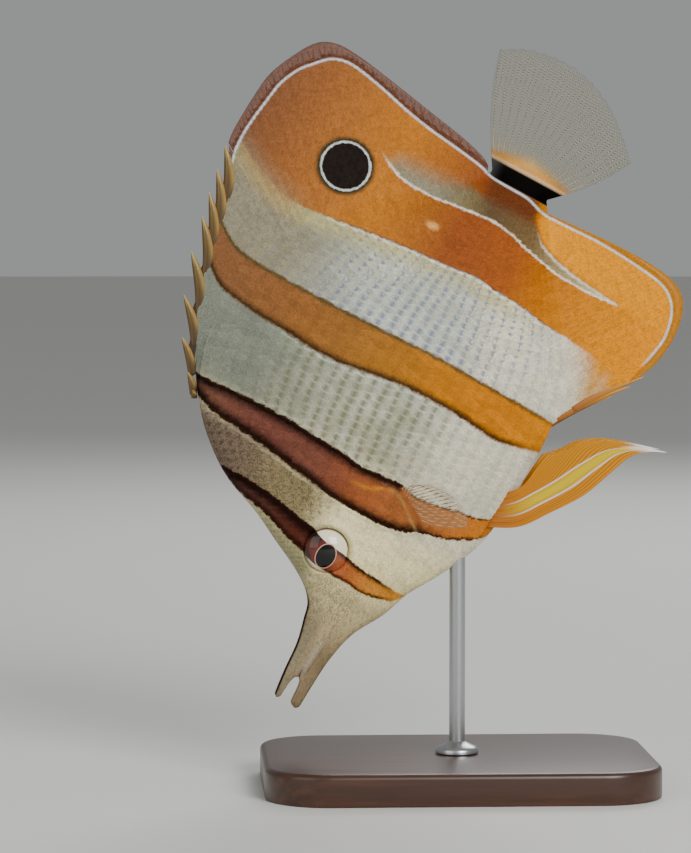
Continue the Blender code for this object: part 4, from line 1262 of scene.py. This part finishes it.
for side, hand in SIDES:
    fin_sheet = new_drawing()
    sheet(fin_sheet, 96, 40, pelvic, pelvic_half)
    mirror(side, fin_sheet)
    write("pelvic_fin_skin_" + hand, fin_sheet, pelvic_finish, "fin_orange", "pelvic_fin_" + hand)


# The eyes: clear round corneas over a cream iris, which the head's dark bar crosses, with an oval pupil.
PUPIL, PUPIL_SIZE = (36.7, 0.2), (3.0, 2.25)
EYE_BULGE, EYE_SUNK = 3.4, 2.2

# Wet cornea over iris and pupil: colours without a gloss of their own under one clear, sharp one.
eye_finish, shader = new_material("wet eye", 0.25)
place, x, _, z = kept("place")
colours = markings()[0]
level = add("MapRange", (z, LOWEST, HIGHEST))
in_bar = both((past_edge(x, level, BAR_1_LEFT), -0.15, 0.15), (past_edge(x, level, BAR_1_RIGHT), 0.15, -0.15))
from_middle, from_pupil = from_point(place, EYE_PLACE, (1, 1)), from_point(place, PUPIL, PUPIL_SIZE)
made = paint(
    colours,
    ("#EADFC4", (from_middle, 5.35, 5.1), rest_of(in_bar)),
    ("#2C2A1C", stripe(from_middle, 5.2, 0.14, 0.14), (x, 37.5, 40)),
    ("#5E2A22", in_bar, (from_pupil, 1.75, 1.35), (z, -6, 3)),
    ("#D39A80", (from_pupil, 1.14, 1.1)),
    ("#060505", (from_pupil, 1.05, 1.01)),
)
fill(shader, {"Base Color": made, "Specular IOR Level": 0.2, "Coat Weight": 0.6, "Coat Roughness": 0.04})

eye_depth = float(half_depth(*EYE_PLACE)) - EYE_SUNK
for side, hand in SIDES:
    ball = new_drawing()
    verts = bmesh.ops.create_grid(ball, x_segments=64, y_segments=40, size=0.5)["verts"]
    s, t = grid_shares(verts)
    reach, turn = EYE_RADIUS * np.sin(math.pi * t), 2 * math.pi * s
    x, z = EYE_PLACE[0] + reach * np.cos(turn), EYE_PLACE[1] + reach * np.sin(turn)
    put(ball, verts, np.stack([x, side * (eye_depth - EYE_BULGE * np.cos(math.pi * t)), z], axis=-1), s, t)
    bmesh.ops.remove_doubles(ball, verts=ball.verts[:], dist=0.001)
    write("wet_eye_" + hand, ball, eye_finish, "eye", "eye_" + hand)


# The display stand, which the swimming fish needs: a dark stained hardwood base with rounded corners, and a
# satin steel rod with a turned foot that goes up into the fish's belly.
BASE_SIZE = (98, 72, 8)
BASE_CORNER, BASE_TOP_EDGE, BASE_UNDER_EDGE = 16, 1.4, 0.4
ROD_TURNING = [
    (0, 3.3), (2, 3.3), (2, 8.3), (5.4, 8.3), (5.4, 9.1), (5.2, 9.45), (4.6, 9.9), (3.2, 10.5), (2.3, 11.0),
    (2, 11.3), (2, 63.5), (0, 63.5),
]


def stand_piece(name, bm, mesh_name, material, slot, node):
    """Makes a part of the stand, which is drawn upright in metres, of a finished mesh."""
    mesh = new_mesh(mesh_name, bm)
    mesh.shade_smooth()
    mesh.set_sharp_from_angle(angle=math.radians(30))
    piece(name, mesh, material, slot, node)


# Hardwood, planed, stained dark and varnished satin: long grain lines under a soft coat.
wood, shader = new_material("dark stained hardwood, satin varnish", 0.35)
place = add("TexCoord", out="Object")
grain_place = add("Mapping", {"Vector": place, "Scale": (9, 160, 160)})
grain = add("TexNoise", {"Vector": grain_place, "Scale": 3.0, "Detail": 6.0, "Roughness": 0.65})
wide_place = add("Mapping", {"Vector": place, "Scale": (4, 40, 40)})
figure = add("TexNoise", {"Vector": wide_place, "Scale": 2.0, "Detail": 2.0})
tint = tints(grain, {0: "#23130C", 0.45: "#3B2215", 0.7: "#5A3520", 1: "#6B4128"}, 0, 1)
fill(shader, {
    "Base Color": paint(tint, ("#3A2114", (figure, 0.3, 0.75))), "Coat Weight": 0.15, "Coat Roughness": 0.3,
    "Normal": add("Bump", {"Height": grain, "Strength": 0.2, "Distance": 0.0002}, "Normal"),
})

base = bmesh.new()
bmesh.ops.create_cube(base, size=1)
bmesh.ops.scale(base, vec=[size * MM for size in BASE_SIZE], verts=base.verts[:])
bmesh.ops.translate(base, vec=(0, 0, BASE_SIZE[2] * MM / 2), verts=base.verts[:])
for low, high, offset, segments in (
    (0, BASE_SIZE[2], BASE_CORNER, 16),
    (BASE_SIZE[2], BASE_SIZE[2], BASE_TOP_EDGE, 5),
    (0, 0, BASE_UNDER_EDGE, 2),
):
    ends = [(edge, sorted(vert.co.z / MM for vert in edge.verts)) for edge in base.edges]
    edges = [edge for edge, (foot, head) in ends if abs(foot - low) < 0.1 and abs(head - high) < 0.1]
    bmesh.ops.bevel(base, geom=edges, offset=offset * MM, segments=segments, profile=0.5, affect="EDGES",
                    material=-1)
stand_piece("wooden_stand_base", base, "stand_base_wood", wood, "stand_wood", "stand_base")

# Steel, turned and brushed round: fine rings and a broad, soft shine.
steel, shader = new_material("satin steel", 0.3)
brushed = add("Mapping", {"Vector": add("TexCoord", out="Object"), "Scale": (60, 60, 4000)})
brushed = add("TexNoise", {"Vector": brushed, "Scale": 1.0, "Detail": 2.0})
fill(shader, {
    "Base Color": "#B7B9BB", "Metallic": 1.0,
    "Normal": add("Bump", {"Height": brushed, "Strength": 0.06, "Distance": 0.0001}, "Normal"),
})
turned = bmesh.new()
profile = [turned.verts.new((radius * MM, 0, height * MM)) for radius, height in ROD_TURNING]
edges = [turned.edges.new(pair) for pair in zip(profile, profile[1:])]
bmesh.ops.spin(turned, geom=profile + edges, cent=(0, 0, 0), axis=(0, 0, 1), angle=math.tau, steps=48,
               use_merge=True)
bmesh.ops.remove_doubles(turned, verts=turned.verts[:], dist=1e-6)
bmesh.ops.recalc_face_normals(turned, faces=turned.faces[:])
stand_piece("steel_stand_rod", turned, "stand_rod_steel", steel, "stand_steel", "stand_rod")

low, high = cad_box
